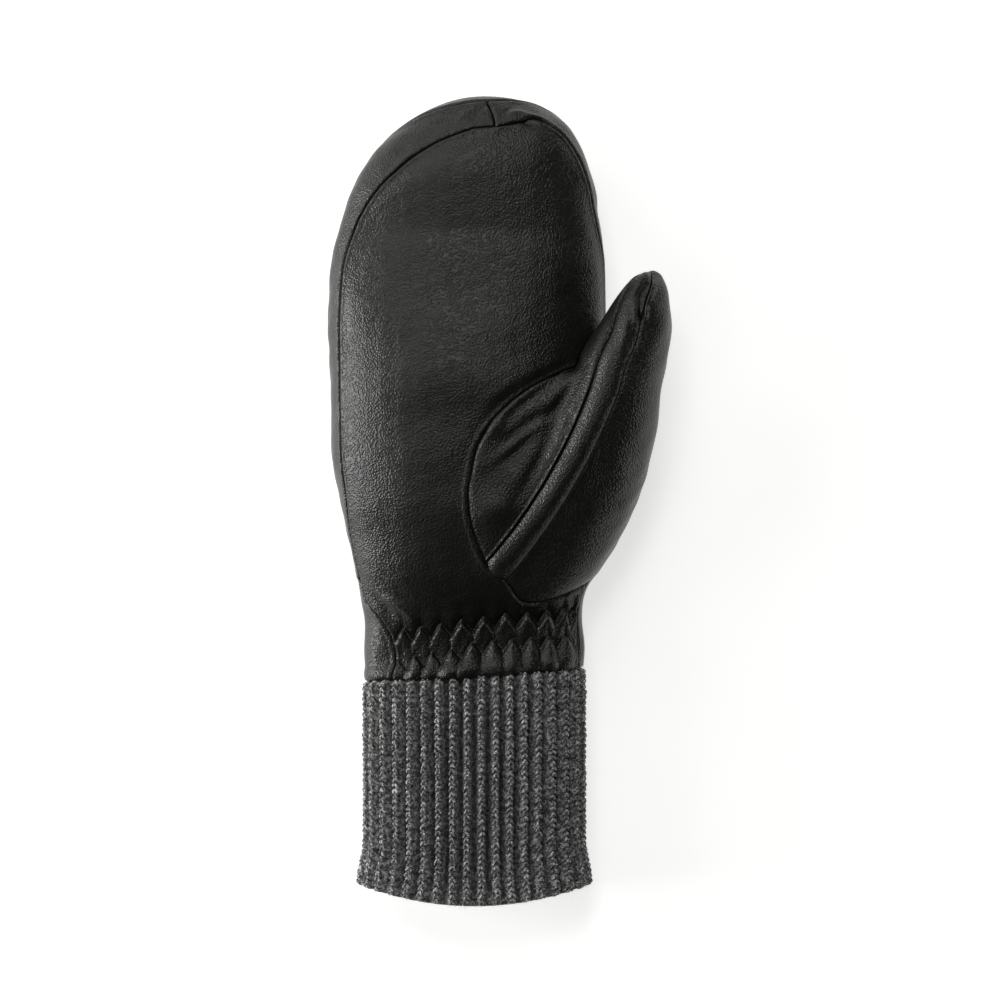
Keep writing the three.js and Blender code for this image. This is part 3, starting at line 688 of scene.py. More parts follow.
def thumb_rows(s, inset, sink):
    """Rows of the thumb at places s around it, from its turned-in root to its tip."""
    skirt = [root_point(s, inset, sink * share) for share in (1, 0.75, 0.5, 0.25)]
    gusset = [gusset_point(share, s, inset) for share in run(0, 1, 1 / GUSSET_ROWS)]
    free = [thumb_point(a, s, inset) for a in np.linspace(0, THUMB_TIP, THUMB_ROWS)]
    grid = np.array(skirt + gusset + free)
    for _ in range(THUMB_SMOOTHING):
        grid[1:-1] = (grid[:-2] + 2 * grid[1:-1] + grid[2:]) / 4
    # The tip is closed by a low dome over its last ring.
    middle = thumb_point(THUMB_TIP, np.array([0, 3]), inset).mean(axis=0)
    share = np.array([0.2, 0.4, 0.6, 0.8, 0.98])[:, None, None]
    dome = grid[-1] + (middle - grid[-1]) * share
    dome[..., 1] += THUMB_TIP_DOME * (1 - (1 - share[..., 0]) ** 2)
    return np.concatenate([grid, dome])


def plug(name, rows):
    """A closed solid tube from rings of points, with a flat cap on each end."""
    count, around = rows.shape[0], rows.shape[1] - 1
    index = np.arange(count * around).reshape(count, around)
    index = np.concatenate([index, index[:, :1]], axis=1)
    ends = len(index) * around + np.arange(2)
    points = [rows[:, :-1].reshape(-1, 3), rows[0, :-1].mean(axis=0), rows[-1, :-1].mean(axis=0)]
    points = np.concatenate([p.reshape(-1, 3) for p in points])
    first = np.stack([index[0, 1:], index[0, :-1], np.full(around, ends[0])], axis=1)
    last = np.stack([index[-1, :-1], index[-1, 1:], np.full(around, ends[1])], axis=1)
    caps = np.concatenate([first, last])
    caps = np.concatenate([caps, caps[:, -1:]], axis=1)
    return solid(name, points, np.concatenate([grid_faces(index), caps]))


def thumb_form():
    """The form of the thumb with a little room round it, to open the panels for its root."""
    around = np.append(np.linspace(0, 5, 110, endpoint=False), 0)
    return plug("thumb_form", thumb_rows(around, -SEAM_GAP / 2, THUMB_CUT_SINK))


palm_outer, palm_inner = palm_faces()
palm = cut_away(shell("leather_palm", palm_outer, palm_inner, folded=True), thumb_form())


def linear(code):
    """An sRGB hex colour as the linear values that a shader takes."""
    values = [int(code[k:k + 2], 16) / 255 for k in (1, 3, 5)]
    return [v / 12.92 if v < 0.04045 else ((v + 0.055) / 1.055) ** 2.4 for v in values] + [1]


def add_node(tree, kind, settings=(), links=()):
    """Adds a node, sets its properties and sockets, and links the sockets that are named."""
    node = tree.nodes.new(kind)
    for name, value in dict(settings).items():
        if isinstance(name, str) and hasattr(node, name):
            setattr(node, name, value)
        else:
            node.inputs[name].default_value = value
    for name, source in dict(links).items():
        tree.links.new(source, node.inputs[name])
    return node


def blank_material(name):
    """A new material, its node tree, and the place on the object for its textures."""
    material = bpy.data.materials.new(name)
    material.use_nodes = True
    tree = material.node_tree
    tree.nodes.clear()
    return material, tree, add_node(tree, "ShaderNodeTexCoord").outputs["Object"]


def noise(tree, place, size, **settings):
    """A noise texture with features of about the given size in millimetres."""
    return add_node(tree, "ShaderNodeTexNoise", {"Scale": 1000 / size, **settings},
                    {"Vector": place})


def map_range(tree, value, start, end, low, high):
    """A node that takes a value from start and end to low and high."""
    return add_node(tree, "ShaderNodeMapRange",
                    {"From Min": start, "From Max": end, "To Min": low, "To Max": high},
                    {"Value": value})


# Nappa leather, drum dyed black and lightly finished: a soft half-gloss face with a fine pebble
# grain that breaks up its highlights, greyer where it is rubbed. The pebbles are about half a
# millimetre across, and are drawn a little coarser so that they show.
LEATHER_BLACK = "#10110c"
LEATHER_WORN = "#191a14"
LEATHER_IOR = 1.5
GRAIN_MM = 0.72
GRAIN_DEPTH = 0.00016
PEBBLE_TOP = 0.08
PEBBLE_EDGE = 0.7
CREASE_MM = 2.2
CREASE_SHARE = 0.25
WARP_MM = 3.2
WARP_REACH = 0.0004
WEAR_MM = 30
WEAR_FROM = 0.42
WEAR_FULL = 0.78
WEAR_MOST = 0.6
GLOSS_IN_GRAIN = 0.4
GLOSS_ON_GRAIN = 0.27


def nappa_leather():
    """Black nappa, with grain and creases in relief, wear in its colour."""
    material, tree, place = blank_material("black_nappa_leather")
    warp = noise(tree, place, WARP_MM, Detail=2.0)
    lean = add_node(tree, "ShaderNodeVectorMath",
                    {"operation": "MULTIPLY_ADD", 1: [WARP_REACH] * 3},
                    {0: warp.outputs["Color"], 2: place})
    grain = add_node(tree, "ShaderNodeTexVoronoi",
                     {"feature": "SMOOTH_F1", "Scale": 1000 / GRAIN_MM, "Smoothness": 0.3},
                     {"Vector": lean.outputs[0]})
    pebble = map_range(tree, grain.outputs["Distance"], PEBBLE_TOP, PEBBLE_EDGE, 1.0, 0.0)
    crease = noise(tree, place, CREASE_MM, Detail=3.0, Roughness=0.6)
    height = add_node(tree, "ShaderNodeMath", {"operation": "MULTIPLY_ADD", 1: CREASE_SHARE},
                      {0: crease.outputs[0], 2: pebble.outputs[0]})
    bump = add_node(tree, "ShaderNodeBump", {"Strength": 0.9, "Distance": GRAIN_DEPTH},
                    {"Height": height.outputs[0]})
    patch = noise(tree, place, WEAR_MM, Detail=3.0)
    worn = map_range(tree, patch.outputs[0], WEAR_FROM, WEAR_FULL, 0.0, WEAR_MOST)
    colour = add_node(tree, "ShaderNodeMix", {"data_type": "RGBA"}, {"Factor": worn.outputs[0]})
    for socket, code in ((6, LEATHER_BLACK), (7, LEATHER_WORN)):
        colour.inputs[socket].default_value = linear(code)
    gloss = map_range(tree, pebble.outputs[0], 0.0, 1.0, GLOSS_IN_GRAIN, GLOSS_ON_GRAIN)
    shader = add_node(tree, "ShaderNodeBsdfPrincipled", {"IOR": LEATHER_IOR, "Metallic": 0.0}, {
        "Base Color": colour.outputs[2],
        "Roughness": gloss.outputs[0],
        "Normal": bump.outputs[0],
    })
    add_node(tree, "ShaderNodeOutputMaterial", {}, {"Surface": shader.outputs[0]})
    return material


leather = nappa_leather()


def fit(piece, node, material):
    """The finished piece takes its material and stands for its node."""
    piece.data.materials.clear()
    piece.data.materials.append(material)
    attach(piece, "root")
    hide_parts(node)


fit(palm, "palm_panel", leather)

# Back
# One piece of the same hide covers the back of the hand, and wraps round both sides of the
# wrist on to the palm's side, where it lies smooth between the shirring and the edge.
BACK_STEP = 1.5
BACK_SPAN = 58
PANEL_WRIST_STEP = 1.0
BACK_SWAY = 0.22
BACK_SWAY_SIZE = 24
WRIST_SWELLS = [
    # x, y, half sizes, turn, height
    [-32, 9, 9, 4.5, 85, 1.7],
    [-34, 21, 5, 5, 0, -0.6],
    [40, 12, 6, 3, 90, 0.8],
]


def back_faces():
    """The back's outer and inner faces, as grids of points."""
    rows = stations(PANEL_WRIST_STEP, BACK_STEP)
    half = half_shares(BACK_STEP, BACK_SPAN)
    angle, base, facing = wide_panel(rows, 180, rows["back_left"], rows["back_right"], half)
    arc = arcs(base)
    edge = np.minimum(arc, arc[:, -1:] - arc)
    loose = smoothstep(edge, 1, 6) * smoothstep(rows["y"], 2, 10)
    relief = seam_relief(edge) + BACK_SWAY * waves(base, BACK_SWAY_SIZE, 11) * loose
    relief += bumps(base, WRIST_SWELLS) * smoothstep(edge, 0.5, 3)
    outer = base + facing * relief[..., None]
    outer[..., 2] = np.maximum(outer[..., 2], 0)
    return outer, hand_point(rows, angle, LEATHER_WALL)


back_outer, back_inner = back_faces()
back = shell("leather_back", back_inner, back_outer, folded=True)
fit(cut_away(back, thumb_form()), "back_panel", leather)


# Side strips
# Two long strips of hide, the fourchettes, join the palm to the back round both edges of the
# hand. Each starts in a point over the wrist, and they meet in a short seam at the tips.
STRIP_SHARES = np.concatenate([
    [0, 0.012, 0.03, 0.055, 0.09, 0.14], np.linspace(0.2, 0.8, 13),
    [0.86, 0.91, 0.945, 0.97, 0.988, 1],
])
STRIP_STEP = 1.0
STRIP_JOINT_RADIUS = 0.5
STRIP_JOINT_RIDGE = 0.12
STRIP_RIPPLE = 0.12
STRIP_RIPPLE_SIZE = 9
STRIP_FOLDS = [
    # route, half width, height
    [[[1.4, 194.8], [6.3, 200.2]], 0.9, -0.4],
    [[[-4, 193.5], [1.4, 199]], 0.9, 0.4],
    [[[12, 196], [16, 200.4]], 0.8, -0.4],
    [[[13.5, 197.2], [18.5, 198], [27, 195.6]], 0.9, 0.8],
    [[[-33, 160], [-28, 174], [-18, 186], [-6, 194]], 1.3, 0.25],
    [[[36, 181], [43, 167], [46.5, 152], [47.5, 140]], 0.8, 0.45],
]


def strip_faces(side):
    """A side strip's faces, in the order that turns its mesh outwards."""
    rows = stations(PANEL_WRIST_STEP, STRIP_STEP)
    wide = (rows["back_" + side] > rows["palm_" + side])[:, 0]
    rows = {name: value[wide] for name, value in rows.items()}
    sign = -1 if side == "left" else 1
    palm_edge, back_edge = rows["palm_" + side], rows["back_" + side]
    angle = even_angles(rows, sign * palm_edge, sign * back_edge, STRIP_SHARES)
    base = hand_point(rows, angle)
    width = arcs(base)[:, -1:]
    angle = sign * (palm_edge + (sign * angle - palm_edge) * (1 - SEAM_GAP / width))
    angle += sign * (back_edge - palm_edge) * SEAM_GAP / 2 / width
    base = hand_point(rows, angle)
    facing = sign * normals(base, (0, 0, sign))
    arc = arcs(base)
    edge = np.minimum(arc, arc[:, -1:] - arc)
    joint = (90 - rows["turn"]) * math.radians(1) * rows[side]
    tip = seam_relief(joint, STRIP_JOINT_RADIUS, STRIP_JOINT_RIDGE)
    relief = seam_relief(np.minimum(edge, arc[:, -1:] / 2)) + tip + folds(base, STRIP_FOLDS)
    relief += STRIP_RIPPLE * waves(base, STRIP_RIPPLE_SIZE, 17) * smoothstep(edge, 0.5, 2.5)
    outer = base + facing * relief[..., None]
    drawn = 1 - smoothstep(joint, 0, SEAM_GAP)
    outer[..., 0] += sign * drawn * SEAM_GAP / 2
    inner = hand_point(rows, angle, LEATHER_WALL)
    inner[..., 0] += sign * drawn * SEAM_GAP / 2
    return (outer, inner) if side == "right" else (inner, outer)


outer_strip = shell("leather_outer_side_strip", *strip_faces("left"))
fit(outer_strip, "outer_side_strip", leather)
inner_strip = shell("leather_inner_side_strip", *strip_faces("right"))
fit(cut_away(inner_strip, thumb_form()), "inner_side_strip", leather)

# Thumb
# The thumb is sewn up from three pieces of hide: the inner one runs down into the palm as a
# gusset, a narrow strip lies between two lengthwise seams, and the outer one wraps its back.
THUMB_SINK = 2.4
THUMB_EDGE_RADIUS = 0.35
THUMB_EDGE_RIDGE = 0.06
THUMB_RIPPLE = 0.12
THUMB_RIPPLE_SIZE = 8
GUSSET_RAIL = 0.5
RAIL_AT = 0.8
RAIL_WIDTH = 0.45
STRIP_CROWN = 1.6

# Folds of each piece: route, half width and height.
GUSSET_FOLDS = [
    [[[8.4, 80.2], [17.7, 86.2], [23.7, 91.4], [30.2, 94.2]], 2.0, -0.9],
    [[[10, 76.9], [19.7, 85.4], [26.1, 89.4], [30, 93]], 1.9, 0.8],
    [[[41, 114], [36.5, 103], [32.5, 95], [29, 85], [25.6, 77.5], [22, 71], [17, 62]], 2.6, -1.5],
    [[[33, 91.5], [36.5, 88]], 0.55, -1.1],
    [[[34.6, 93.6], [38, 90.1]], 0.55, -0.9],
    [[[31.6, 89.2], [35, 85.8]], 0.55, -0.8],
    [[[4, 57], [10, 60], [17, 62]], 5.0, 1.3],
    [[[36.5, 108.4], [32, 107], [25, 103], [17, 97], [10, 90], [5, 81]], 1.5, 0.8],
    [[[10, 90], [12.5, 87.5]], 2.2, 0.8],
]
STRIP_FOLDS_AT_TIP = [
    [[[58.8, 134], [58.6, 123]], 0.8, 1.2],
    [[[56.7, 128.5], [54.6, 119], [53.2, 113.8]], 1.0, 0.6],
    [[[63.7, 140], [59.9, 133], [59.9, 125]], 1.2, -1.6],
]
OUTER_FOLDS = [
    [[[62, 130.5], [62, 125]], 0.8, 1.2],
    [[[63.7, 140], [59.9, 133], [59.9, 125]], 1.2, -1.6],
    [[[66.2, 140], [63.4, 134], [62, 131.5]], 1.4, 0.7],
]


def thumb_faces(places, lines, crown=0.0, rail=0.0):
    """The faces of a thumb piece: its places around the thumb, its folds, how far it is
    crowned between its seams, and how proud its edge stands beside them.
    """
    outer = thumb_rows(places, 0, THUMB_SINK)
    ends = arcs(outer)
    gap = SEAM_GAP / 2 / np.maximum(ends[:, -1:], 4 * SEAM_GAP)
    inner = thumb_rows(places, LEATHER_WALL, THUMB_SINK)
    way = 1 if places[1] > places[0] else -1
    facing = way * normals(outer, (0, 0, way))
    edge = np.minimum(ends, ends[:, -1:] - ends)
    relief = seam_relief(edge, THUMB_EDGE_RADIUS, THUMB_EDGE_RIDGE)
    relief *= smoothstep(ends[:, -1:], 1.5, 5)
    upward = np.clip(facing[..., 2] * 4, 0, 1)
    relief += folds(outer, lines) * upward
    proud = np.exp(-(((ends - RAIL_AT) / RAIL_WIDTH) ** 2))
    relief += rail * proud * smoothstep(ends[:, -1:], 3, 9)
    relief += crown * (1 - (2 * edge / ends[:, -1:] - 1) ** 2) * smoothstep(ends[:, -1:], 1.5, 5)
    relief += THUMB_RIPPLE * waves(outer, THUMB_RIPPLE_SIZE, 29) * smoothstep(edge, 0.5, 2.5)
    out = outer + facing * relief[..., None]

    def drawn(grid):
        first, last = grid[:, :1], grid[:, -1:]
        return first + (grid - first) * (1 - 2 * gap[..., None]) + (last - first) * gap[..., None]

    return (drawn(out), drawn(inner)) if way > 0 else (drawn(inner), drawn(out))


def spaced(first, last, count):
    """Shares from first to last that lie closer together at both ends."""
    t = np.linspace(0, 1, count)
    return first + (last - first) * (t - 0.13 * np.sin(2 * math.pi * t))


inner_places = np.concatenate([spaced(1, 0, 64)[:-1], spaced(5, 4, 30)])
gusset_faces = thumb_faces(inner_places, GUSSET_FOLDS, rail=GUSSET_RAIL)
gusset = shell("leather_thumb_gusset", *gusset_faces)
fit(gusset, "thumb_inner", leather)
strip_places = spaced(1, 2, 26)
thumb_strip_faces = thumb_faces(strip_places, STRIP_FOLDS_AT_TIP, crown=STRIP_CROWN)
strip = shell("leather_thumb_strip", *thumb_strip_faces)
fit(strip, "thumb_strip", leather)
outer_places = np.concatenate([spaced(2, 3, 34)[:-1], spaced(3, 4, 40)])
thumb = shell("leather_thumb_outer", *thumb_faces(outer_places, OUTER_FOLDS))
fit(thumb, "thumb_outer", leather)

# Knit cuff
# A tube of heather grey lambswool in a 1 x 1 rib, doubled over at its top edge, is sewn round
# the leather inside the fold and hangs free at its hem, which flares a little. Between the
# ribs' chains of stitches lie deep furrows of purl.
CUFF_LENGTH = 80.0
CUFF_FOLD = 1.9
KNIT_WALL = 4.0
RIB_COUNT = 38
RIB_DEPTH = 3.2
HEM_FLARE = 2.2
HEM_FLARE_FROM = 0.22
HEM_BOW = 6.5
RIB_HALF = 0.38
POINTS_PER_RIB = 8
FINE_PER_RIB = 64
STITCH_PITCH = 2.0
STITCH_HALF = 0.6
YARN_RADIUS = 0.52
LEG_START = -0.03
LEG_SPREAD = 0.27
LEG_RUN = 1.25
LEG_LIFT = 0.35
LEG_ARCH = 0.5
LEG_SIDES = 5
HAIR_COUNT = 2200
HAIR_RADIUS = 0.03
HAIR_LENGTH = (0.8, 2.6)
HAIR_SIDES = 3

# The cuff's wall in section, from the hem up inside it, over the fold and down outside it: up
# is a share of its length, out runs from the inner face to the outer one, ribs is their depth.
FOLD_STEP = 4.0
HEM_STEP = 11.6
cuff_outline = table(
    ["step", "up", "out", "ribs"],
    [
        [0, 0.02, -1, 0.1], [1, 0.25, -1, 0.1], [2, 0.975, -1, 0.1], [3, 0.995, -0.6, 0.2],
        [4, 1, 0, 0.3], [5, 0.993, 0.6, 0.45], [6, 0.975, 1, 0.75], [7, 0.6, 0.97, 1],
        [8, 0.25, 0.97, 1], [9, 0.1, 1, 0.85], [10, 0.025, 1, 0.5], [11, 0.004, 0.5, 0.3],
        [12, 0, -0.3, 0.15], [13, 0.02, -1, 0.1],
    ],
)


def cuff_point(up, out, turn, offset):
    """A point of the cuff's wall: up its length, out through the wall, round its outline."""
    aside = np.sign(np.cos(turn)) * np.abs(np.cos(turn)) ** (2 / BACK_POWER)
    height = np.sign(np.sin(turn)) * np.abs(np.sin(turn)) ** (2 / BACK_POWER)
    flare = HEM_FLARE * smoothstep(HEM_FLARE_FROM - up, 0, HEM_FLARE_FROM)
    away = (out - 1) * KNIT_WALL / 2 + flare + offset
    x = (CUFF_WIDTH / 2 + away) * aside
    z = CUFF_THICKNESS / 2 + (CUFF_THICKNESS / 2 + away) * height
    top = CUFF_FOLD + CUFF_TILT * x / CUFF_WIDTH
    hem = CUFF_FOLD - CUFF_LENGTH + HEM_BOW * aside**2
    return np.stack([CUFF_CENTRE + x, hem + (top - hem) * up, np.maximum(z, 0)], axis=-1)


def even_turns(count):
    """Turns that space the ribs evenly along the cuff's outline."""
    fine = np.linspace(0, 2 * math.pi, 4001)
    points = cuff_point(0.5, 1.0, fine, 0.0)
    arc = np.concatenate([[0], np.cumsum(np.linalg.norm(np.diff(points, axis=0), axis=1))])
    return np.interp(np.linspace(0, arc[-1], count + 1), arc, fine)


def rib_relief(rib):
    """Height of a rib's round back over the deep flat furrows beside it."""
    across = np.abs((rib + 0.5) % 1 - 0.5) / RIB_HALF
    return RIB_DEPTH * (np.sqrt(np.maximum(1 - across**2.2, 0)) - 1)


def cuff_wall(steps, turns, ribs, lift=0.0):
    """Points of the cuff's wall at steps of its outline and turns around it."""
    up, out = cuff_outline("up", steps), cuff_outline("out", steps)
    side = np.where(out < -0.35, -1, 1)
    relief = rib_relief(ribs) * cuff_outline("ribs", steps)
    return cuff_point(up, out, turns, relief * side + lift)


def cuff_tube():
    """The cuff's wall as one closed mesh: its points, its faces, and each point's depth."""
    turns = even_turns(RIB_COUNT * POINTS_PER_RIB)
    ribs = np.arange(len(turns)) / POINTS_PER_RIB
    steps = np.concatenate([
        run(0, 2, 2 / 16), run(2, 6, 4 / 14), run(6, 8, 2 / 30), run(8, 13, 5 / 32),
    ])
    points = cuff_wall(steps[:, None], turns[None, :-1], ribs[None, :-1])
    # How deep each point lies in a furrow, by which the wool's painted shade darkens it.
    depth = -rib_relief(ribs[None, :-1]) / RIB_DEPTH * cuff_outline("ribs", steps)[:, None]
    count, around = points.shape[:2]
    index = np.arange(count * around).reshape(count, around)
    index = np.concatenate([index, index[:, :1]], axis=1)
    index = np.concatenate([index, index[:1]], axis=0)
    return points.reshape(-1, 3), grid_faces(index), depth.ravel()


def yarns(centre, outward, radius, sides):
    """Closed tubes with pointed ends along rows of points: their points and their faces."""
    along = np.gradient(centre, axis=1)
    aside = np.cross(outward, along)
    aside /= np.linalg.norm(aside, axis=-1, keepdims=True)
    spin = np.linspace(0, 2 * math.pi, sides, endpoint=False)[:, None]
    ring = np.cos(spin) * aside[:, :, None] + 0.8 * np.sin(spin) * outward[:, :, None]
    body = (centre[:, :, None] + ring * radius[..., None, None])[:, 1:-1]
    count, rings = body.shape[:2]
    points = np.concatenate([body.reshape(count, -1, 3), centre[:, :1], centre[:, -1:]], axis=1)
    first, last = rings * sides, rings * sides + 1
    faces = []
    for k in range(sides):
        n = (k + 1) % sides
        faces.append([first, k, n, n])
        for start in range(0, (rings - 1) * sides, sides):
            faces.append([start + k, start + k + sides, start + n + sides, start + n])
        end = (rings - 1) * sides
        faces.append([end + k, last, last, end + n])
    faces = np.array(faces)[None] + np.arange(count)[:, None, None] * points.shape[1]
    return points.reshape(-1, 3), faces.reshape(-1, 4)


def stitch_legs():
    """The leaning halves of every knit stitch on the outer face, as short thick yarns."""
    fine = np.linspace(FOLD_STEP - 0.9, HEM_STEP, 1200)
    trace = cuff_point(cuff_outline("up", fine), cuff_outline("out", fine), math.pi / 2, 0.0)
    arc = np.concatenate([[0], np.cumsum(np.linalg.norm(np.diff(trace, axis=0), axis=1))])
    rows = np.arange(STITCH_HALF, arc[-1] / STITCH_PITCH - STITCH_HALF)
    rib, row, side = np.meshgrid(np.arange(RIB_COUNT), rows, [-1, 1], indexing="ij")
    rib, row, side = rib.ravel(), row.ravel(), side.ravel()
    random = np.random.default_rng(7)
    jitter = random.normal(size=(4, len(rib)))
    turns = even_turns(RIB_COUNT * FINE_PER_RIB)
    around = np.arange(len(turns)) / FINE_PER_RIB
    # Each leg runs down from the rib's middle, over the leg above it, out to the furrow.
    course = np.array([0.0, 0.2, 0.5, 0.8, 1.0])
    thick = np.array([0.0, 0.8, 1.0, 0.8, 0.0])
    sway = 0.03 * jitter[0] + 0.03 * np.sin(rib * 2.1 + row * 0.17)
    u = rib[:, None] + side[:, None] * (LEG_START + LEG_SPREAD * course) + sway[:, None]
    v = row[:, None] - STITCH_HALF + (LEG_RUN + 0.1 * jitter[1][:, None]) * course
    v = np.clip(v * STITCH_PITCH, 0, arc[-1])
    steps = np.interp(v, arc, fine)
    turn = np.interp(u % RIB_COUNT, around, turns)
    arch = LEG_LIFT + LEG_ARCH * np.sin(math.pi * course) ** 0.8 + 0.07 * jitter[2][:, None]
    centre = cuff_wall(steps, turn, u, arch)
    outward = cuff_wall(steps, turn, u, arch + 1) - centre
    outward /= np.linalg.norm(outward, axis=-1, keepdims=True)
    radius = YARN_RADIUS * (1 + 0.1 * jitter[3])[:, None] * thick
    return yarns(centre, outward, radius, LEG_SIDES)


def stray_hairs():
    """Fine hairs that stand off the yarn and soften the outline of the knit."""
    random = np.random.default_rng(31)
    turns = even_turns(RIB_COUNT * FINE_PER_RIB)
    rib = random.uniform(0, RIB_COUNT, HAIR_COUNT)
    turn = np.interp(rib, np.arange(len(turns)) / FINE_PER_RIB, turns)
    steps = random.uniform(FOLD_STEP - 0.8, HEM_STEP, HAIR_COUNT)
    root = cuff_wall(steps, turn, rib, 0.4)
    outward = cuff_wall(steps, turn, rib, 1.4) - root
    outward /= np.linalg.norm(outward, axis=-1, keepdims=True)
    drift = np.cross(outward, random.normal(size=outward.shape))
    drift /= np.linalg.norm(drift, axis=-1, keepdims=True)
    length = random.uniform(*HAIR_LENGTH, HAIR_COUNT)[:, None, None]
    share = np.array([0, 0.35, 0.7, 1])[:, None]
    rise = 0.9 * (share - 0.55 * share**2)
    path = root[:, None] + length * (rise * outward[:, None] + 0.8 * share * drift[:, None])
    radius = np.full((HAIR_COUNT, 4), HAIR_RADIUS)
    return yarns(path, np.repeat(outward[:, None], 4, axis=1), radius, HAIR_SIDES)


def knit_cuff():
    """The whole cuff as one mesh: its wall, the stitches on its ribs and its loose hairs."""
    points, faces, depth = cuff_tube()
    for more, corners in (stitch_legs(), stray_hairs()):
        faces = np.concatenate([faces, corners + len(points)])
        points = np.concatenate([points, more])
    points[:, 2] = np.maximum(points[:, 2], 0.05)
    # The stitches and hairs lie outside the furrows and get no painted shade.
    depth = np.append(depth, np.zeros(len(points) - len(depth)))
    return solid("lambswool_knit_cuff", points, faces, depth)


# Heather lambswool, carded from dark and light fibre before spinning, so that the yarn is
# flecked along its length and its hairs blur the edges of the stitches. Fibres are finer than
# shows, so they are drawn half a millimetre apart. Shade is painted into the furrows: the wool
# there is darkened by its depth, for the shadow that falls between the ribs.
WOOL_DARK = "#1c1c1b"
WOOL_MIDDLE = "#767776"
WOOL_LIGHT = "#dededc"
FIBRE_MM = 0.5
FLECK_MM = 1.5
FLECK_SHARE = 0.8
FLECK_DARK = 0.68
FLECK_LIGHT = 1.1
FLECK_MIDDLE = 0.55
FIBRE_DEPTH = 0.0003
# The share by which the painted shade darkens the wool at a furrow's floor.
FURROW_PAINTED_SHADE = 0.8
WOOL_ROUGHNESS = 0.95


def heather_wool():
    """Heather grey lambswool, flecked in its colour and rough with fibre, shade painted in
    furrows.
    """
    material, tree, place = blank_material("heather_lambswool")
    fibre = noise(tree, place, FIBRE_MM, Detail=3.0, Roughness=0.7)
    fleck = noise(tree, place, FLECK_MM, Detail=2.0, Roughness=0.6)
    mixed = add_node(tree, "ShaderNodeMath", {"operation": "MULTIPLY_ADD", 1: FLECK_SHARE},
                     {0: fleck.outputs[0], 2: fibre.outputs[0]})
    share = map_range(tree, mixed.outputs[0], FLECK_DARK, FLECK_LIGHT, 0.0, 1.0)
    colour = add_node(tree, "ShaderNodeValToRGB", {}, {"Fac": share.outputs[0]})
    ramp = colour.color_ramp
    ramp.elements[0].color = linear(WOOL_DARK)
    ramp.elements[1].color = linear(WOOL_LIGHT)
    ramp.elements.new(FLECK_MIDDLE).color = linear(WOOL_MIDDLE)
    # Painted shade: the wool darkens with its depth in a furrow, for the shadow between the ribs.
    depth = add_node(tree, "ShaderNodeAttribute", {"attribute_name": "furrow"})
    painted_furrow_shade = add_node(tree, "ShaderNodeMath", {"operation": "MULTIPLY_ADD", 1: -FURROW_PAINTED_SHADE, 2: 1.0},
                   {0: depth.outputs["Fac"]})
    wool_with_painted_shade = add_node(tree, "ShaderNodeVectorMath", {"operation": "SCALE"},
                      {0: colour.outputs[0], "Scale": painted_furrow_shade.outputs[0]})
    bump = add_node(tree, "ShaderNodeBump", {"Strength": 0.9, "Distance": FIBRE_DEPTH},
                    {"Height": fibre.outputs[0]})
    shader = add_node(tree, "ShaderNodeBsdfPrincipled",
                      {"Roughness": WOOL_ROUGHNESS, "IOR": 1.5, "Sheen Weight": 0.15,
                       "Specular IOR Level": 0.2},
                      {"Base Color": wool_with_painted_shade.outputs[0], "Normal": bump.outputs[0]})
    add_node(tree, "ShaderNodeOutputMaterial", {}, {"Surface": shader.outputs[0]})
    return material


fit(knit_cuff(), "knit_cuff", heather_wool())

# Studio
# The mitten lies on a plain white table that is lit from within, as for a catalogue. Soft
# square lights stand low on its left and off its finger tips, with weak ones on the right and
# high up, and the camera looks straight down from 1.8 m.
FLOOR_HALF = 3.0
FLOOR_PALE = "#f4f4f2"
CAMERA_ASIDE = 0.0002
CAMERA_HEIGHT = 1.8
FOCUS_HEIGHT = 0.023
FRAME_WIDTH = 0.35
TABLE_GLOW = 0.75
TABLE_GRAIN_MM = 2.0
ROOM_GLOW = 0.02
LIGHT_REACH = 1.5
LIGHTS = [
    # name, heading and height in degrees, size in metres, power in watts
    ["left_edge", 180, 9, 0.7, 20],
    ["left_key", 180, 26, 0.6, 4],
    ["corner_key", 135, 24, 0.6, 3.5],
    ["tip_light", 92, 38, 0.6, 3],
    ["high_key", 100, 65, 0.45, 3.8],
    ["right_edge", 350, 7, 0.6, 3.5],
    ["high_fill", 200, 64, 0.9, 1.2],
]


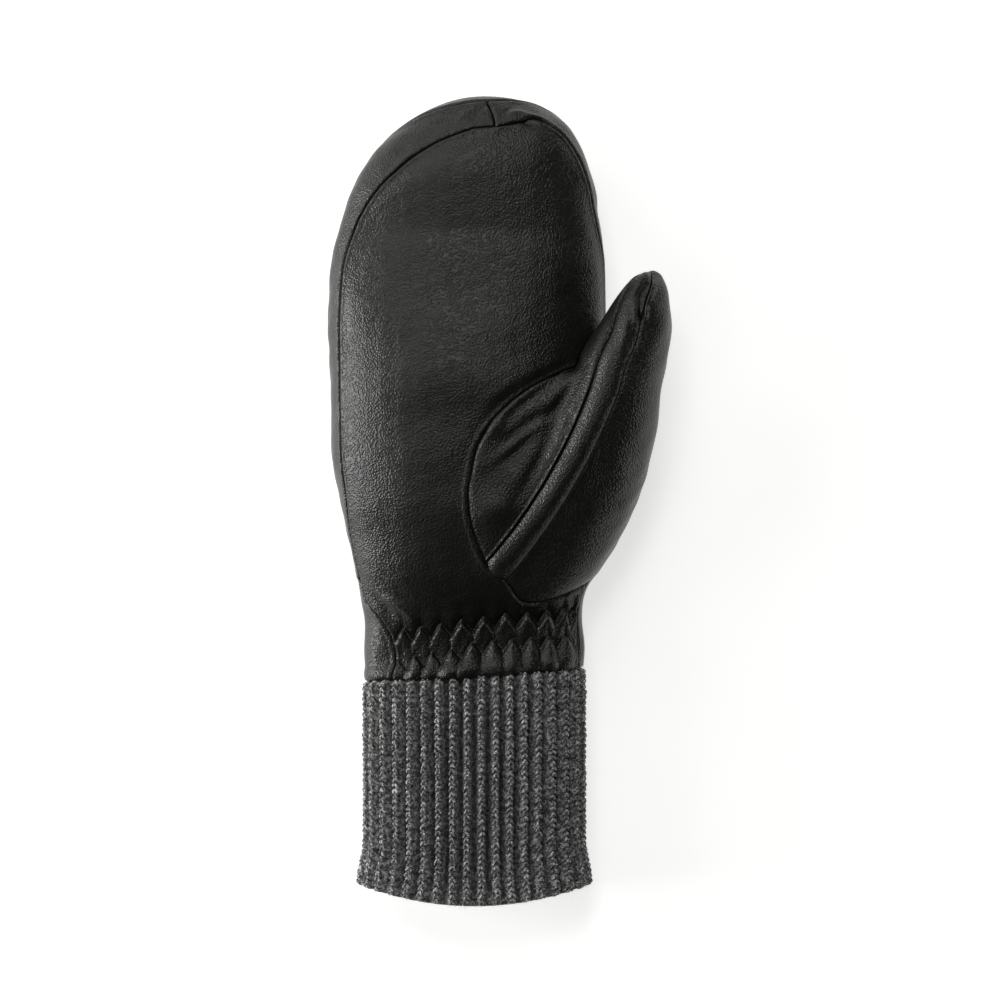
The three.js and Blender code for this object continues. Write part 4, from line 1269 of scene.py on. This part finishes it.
def table_top():
    """The table: white acrylic, opal and softly lit from below, so that it shows no edge."""
    mesh = bpy.data.meshes.new("table_top")
    corners = [(-FLOOR_HALF, -FLOOR_HALF), (FLOOR_HALF, -FLOOR_HALF)]
    corners += [(x, -y) for x, y in reversed(corners)]
    mesh.from_pydata([(x, y, -0.0002) for x, y in corners], [], [(0, 1, 2, 3)])
    floor = add_object("table_top", mesh)
    material, tree, place = blank_material("lit_white_acrylic")
    fine = noise(tree, place, TABLE_GRAIN_MM)
    bump = add_node(tree, "ShaderNodeBump", {"Strength": 0.05, "Distance": 0.0001},
                    {"Height": fine.outputs[0]})
    shader = add_node(tree, "ShaderNodeBsdfPrincipled",
                      {"Base Color": linear(FLOOR_PALE), "Roughness": 0.8,
                       "Emission Color": linear(FLOOR_PALE), "Emission Strength": TABLE_GLOW},
                      {"Normal": bump.outputs[0]})
    add_node(tree, "ShaderNodeOutputMaterial", {}, {"Surface": shader.outputs[0]})
    mesh.materials.append(material)


def area_light(name, heading, height, size, power):
    """A square soft light turned to the mitten, at a heading and height in degrees."""
    lamp = bpy.data.lights.new(name, "AREA")
    lamp.shape = "SQUARE"
    lamp.size = size
    lamp.energy = power
    light = add_object(name, lamp)
    a, e = math.radians(heading), math.radians(height)
    light.location = (
        LIGHT_REACH * math.cos(a) * math.cos(e), LIGHT_REACH * math.sin(a) * math.cos(e),
        LIGHT_REACH * math.sin(e),
    )
    way = -light.location
    light.rotation_euler = way.to_track_quat("-Z", "Y").to_euler()


def studio():
    """The lights, a faint even surround, and the camera."""
    for light in LIGHTS:
        area_light(*light)
    world = bpy.data.worlds.new("studio")
    world.use_nodes = True
    background = world.node_tree.nodes["Background"]
    background.inputs["Color"].default_value = linear("#ffffff")
    background.inputs["Strength"].default_value = ROOM_GLOW
    scene = bpy.context.scene
    scene.world = world
    scene.view_settings.view_transform = "Standard"
    lens = bpy.data.cameras.new("camera")
    lens.sensor_width = 36
    lens.lens = lens.sensor_width * (CAMERA_HEIGHT - FOCUS_HEIGHT) / FRAME_WIDTH
    lens.clip_end = 20
    camera = add_object("camera", lens)
    camera.location = (CAMERA_ASIDE, 0, CAMERA_HEIGHT)
    scene.camera = camera


table_top()
studio()
